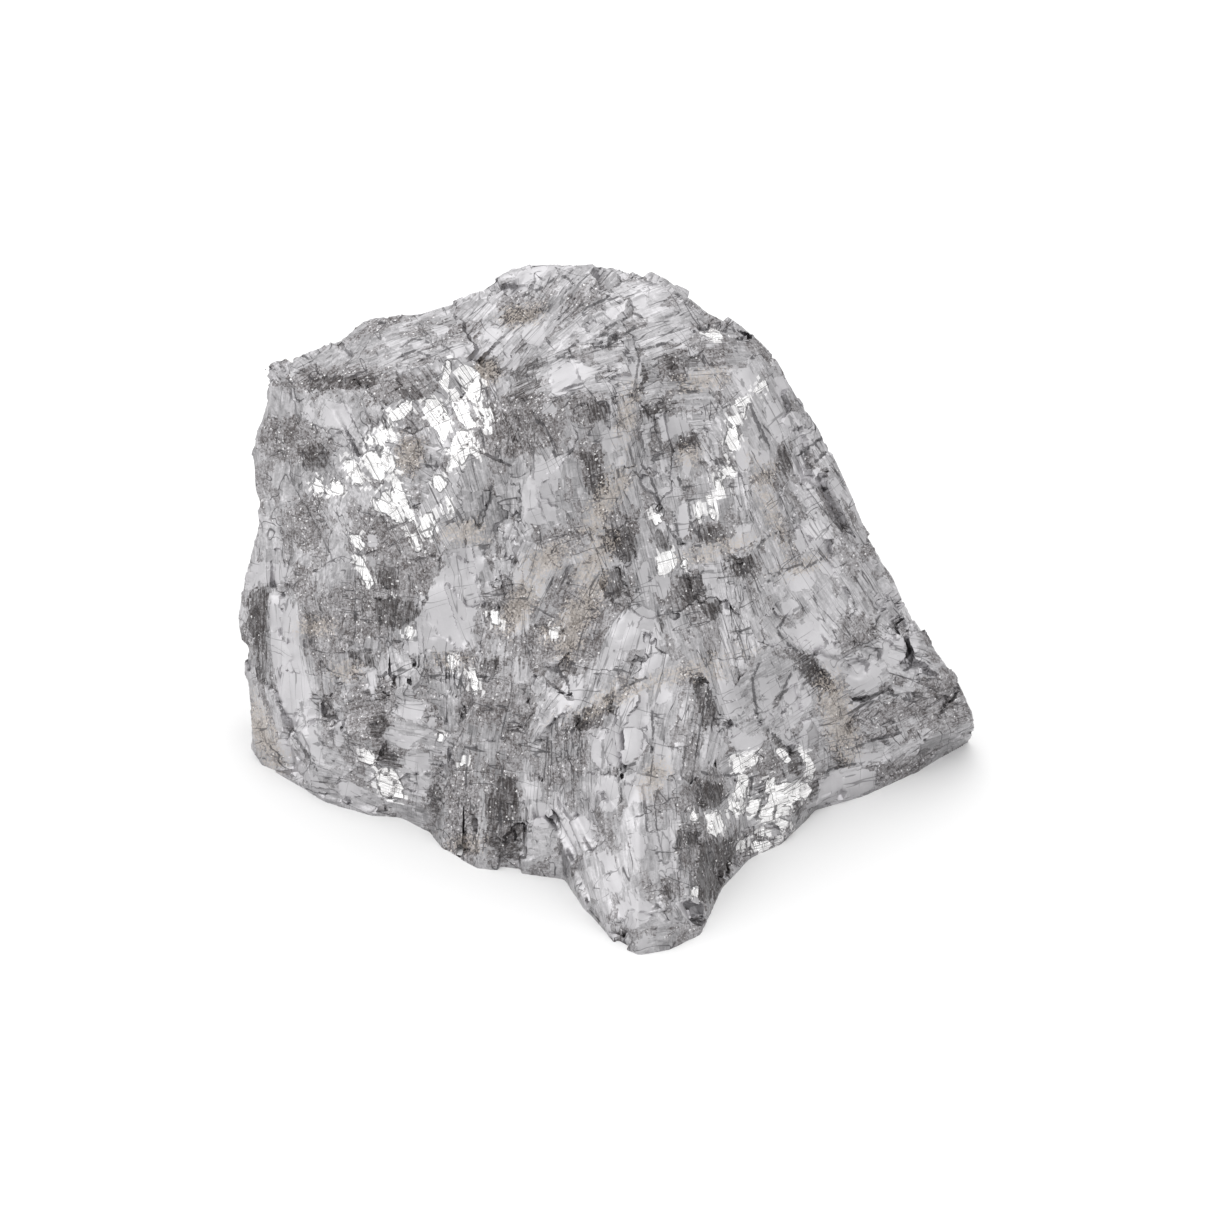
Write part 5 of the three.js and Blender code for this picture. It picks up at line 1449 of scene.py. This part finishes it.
def galena_material(settings):
    """Cleaved lead ore: metal bricks with cracks, painted reflections on the mirror faces, dark crumbs, brown
    stain, painted shade in the hollows, and painted light and shade in patches.
    """
    material = bpy.data.materials.new("galena_metal")
    material.use_nodes = True
    material.node_tree.nodes.clear()
    graph = Graph(material.node_tree)
    seen = Patterns(graph)
    painted_light_and_shade_tone = painted_light_and_shade(graph)
    clean = clean_metal(graph, seen, settings, painted_light_and_shade_tone)
    colour = graph.blend(seen.rough_break, clean, granular_metal(graph, seen, settings, painted_light_and_shade_tone))
    # Painted shade in the hollows, then real stain, then painted reflections.
    for laid_over in (shaded, stained, with_painted_reflections):
        colour = laid_over(graph, seen, settings, colour)
    lines = crack_lines(graph, seen)
    cover = graph.mix(seen.masks["smooth"], CRACK_COVER, PLATE_CRACK_COVER)
    colour = graph.blend(graph.times(lines, cover), colour, rgba(settings.crack_colour))
    shader = graph.add("ShaderNodeBsdfPrincipled", {
        "Base Color": colour,
        "Metallic": graph.mix(seen.masks["stained"], 1.0, STAIN_METALLIC),
        "Roughness": roughness(graph, seen),
        "Normal": broken_normal(graph, seen, lines),
    })
    output = graph.add("ShaderNodeOutputMaterial")
    graph.feed(output.inputs["Surface"], shader.outputs["BSDF"])
    return material


def floor_material():
    """Plain matt white card."""
    material = bpy.data.materials.new("white_card")
    material.use_nodes = True
    shader = material.node_tree.nodes["Principled BSDF"]
    shader.inputs["Base Color"].default_value = CARD_COLOUR
    shader.inputs["Roughness"].default_value = CARD_ROUGHNESS
    shader.inputs["Specular IOR Level"].default_value = 0.0
    return material


# ------------------------------------------------------------------ stage

FLOOR_HALF_MM = 3000
# Each light: its place and the side of its square in mm, and its power in watts.
LIGHTS = {
    "back top": ((0, 350, 420), 400, 0.2),
    "fill front": ((60, -420, 60), 260, 0.1),
    "key": ((-260, -120, 420), 380, 0.35),
    "fill left": ((-380, -160, 120), 300, 0.08),
    "fill right": ((330, -220, 260), 260, 0.15),
    "top": ((40, 160, 480), 400, 0.15),
}
# The room's steps of light: how far a direction points back or up where each starts and ends, and its
# strength there. The last is the strength gained per share that a direction points right.
ROOM_BACKWARD = (-0.9, 0.3, 0.75, 1.0)
ROOM_UPWARD = (-0.1, 0.6, 0.0, 0.2)
ROOM_RIGHTWARD = -0.12


def white_floor():
    """A plain square floor at the lump's foot."""
    half = FLOOR_HALF_MM * MM
    mesh = bpy.data.meshes.new("floor")
    corners = [(-half, -half, 0), (half, -half, 0), (half, half, 0), (-half, half, 0)]
    mesh.from_pydata(corners, [], [(0, 1, 2, 3)])
    floor = bpy.data.objects.new("floor", mesh)
    bpy.context.scene.collection.objects.link(floor)
    mesh.materials.append(floor_material())
    return floor


def soft_light(name, place_mm, size_mm, power):
    """A square area light that points at the lump."""
    data = bpy.data.lights.new(name, "AREA")
    data.size = size_mm * MM
    data.energy = power
    light = bpy.data.objects.new(name, data)
    light.location = Vector(place_mm) * MM
    aim = Vector(SHOW_TARGET_MM) * MM - light.location
    light.rotation_euler = aim.to_track_quat("-Z", "Y").to_euler()
    bpy.context.scene.collection.objects.link(light)


def white_room():
    """World light: white above and behind, greyer towards the front and the right.

    Its strength is a step of how far a direction points back, plus a step of how far it points up, plus a
    share of how far it points right.
    """
    world = bpy.data.worlds.new("white_room")
    bpy.context.scene.world = world
    world.use_nodes = True
    world.node_tree.nodes.clear()
    graph = Graph(world.node_tree)
    direction = graph.add("ShaderNodeTexCoord").outputs["Generated"]
    split = graph.add("ShaderNodeSeparateXYZ", {0: direction}).outputs
    backward = graph.remap(split[1], *ROOM_BACKWARD)
    upward = graph.remap(split[2], *ROOM_UPWARD)
    strength = graph.sum_of(graph.plus(backward, upward), (split[0], ROOM_RIGHTWARD))
    background = graph.add("ShaderNodeBackground", {"Color": (1, 1, 1, 1), "Strength": strength})
    output = graph.add("ShaderNodeOutputWorld")
    graph.feed(output.inputs["Surface"], background.outputs["Background"])


def show_camera():
    """The camera of the show side."""
    data = bpy.data.cameras.new("show_camera")
    data.lens = LENS_MM
    data.sensor_width = SENSOR_MM
    camera = bpy.data.objects.new("show_camera", data)
    _, _, looking = show_axes()
    camera.location = Vector(SHOW_TARGET_MM - looking * SHOW_DISTANCE_MM) * MM
    camera.rotation_euler = Vector(looking).to_track_quat("-Z", "Y").to_euler()
    bpy.context.scene.collection.objects.link(camera)
    bpy.context.scene.camera = camera


# ------------------------------------------------------------------ operators and panel


class GALENA_OT_build_lump(bpy.types.Operator):
    """Builds the galena lump over its CAD solid"""

    bl_idname = "galena.build_lump"
    bl_label = "Build galena lump"

    def execute(self, context):
        settings = context.scene.galena
        piece = lump_mesh(settings)
        piece.data.materials.clear()
        piece.data.materials.append(galena_material(settings))
        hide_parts(NODE)
        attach(piece, "root")
        return {"FINISHED"}


class GALENA_OT_build_stage(bpy.types.Operator):
    """Builds the floor, the lights, the white room and the camera"""

    bl_idname = "galena.build_stage"
    bl_label = "Build stage"

    def execute(self, context):
        white_floor()
        for name, (place_mm, size_mm, power) in LIGHTS.items():
            soft_light(name, place_mm, size_mm, power)
        white_room()
        show_camera()
        context.scene.view_settings.view_transform = "Standard"
        return {"FINISHED"}


class GALENA_PT_panel(bpy.types.Panel):
    """Sidebar panel with the lump's settings and buttons"""

    bl_idname = "GALENA_PT_panel"
    bl_label = "Raw galena"
    bl_space_type = "VIEW_3D"
    bl_region_type = "UI"
    bl_category = "Galena"

    def draw(self, context):
        settings = context.scene.galena
        for name in settings.__annotations__:
            self.layout.prop(settings, name)
        self.layout.operator(GALENA_OT_build_lump.bl_idname)
        self.layout.operator(GALENA_OT_build_stage.bl_idname)


CLASSES = (GalenaSettings, GALENA_OT_build_lump, GALENA_OT_build_stage, GALENA_PT_panel)


def register():
    """Adds the classes and the lump's settings."""
    for cls in CLASSES:
        bpy.utils.register_class(cls)
    bpy.types.Scene.galena = bpy.props.PointerProperty(type=GalenaSettings)


def unregister():
    """Takes the settings and the classes away again."""
    del bpy.types.Scene.galena
    for cls in reversed(CLASSES):
        bpy.utils.unregister_class(cls)


def main():
    """Builds the lump and its stage."""
    register()
    bpy.ops.galena.build_lump()
    bpy.ops.galena.build_stage()


if __name__ == "__main__":
    main()
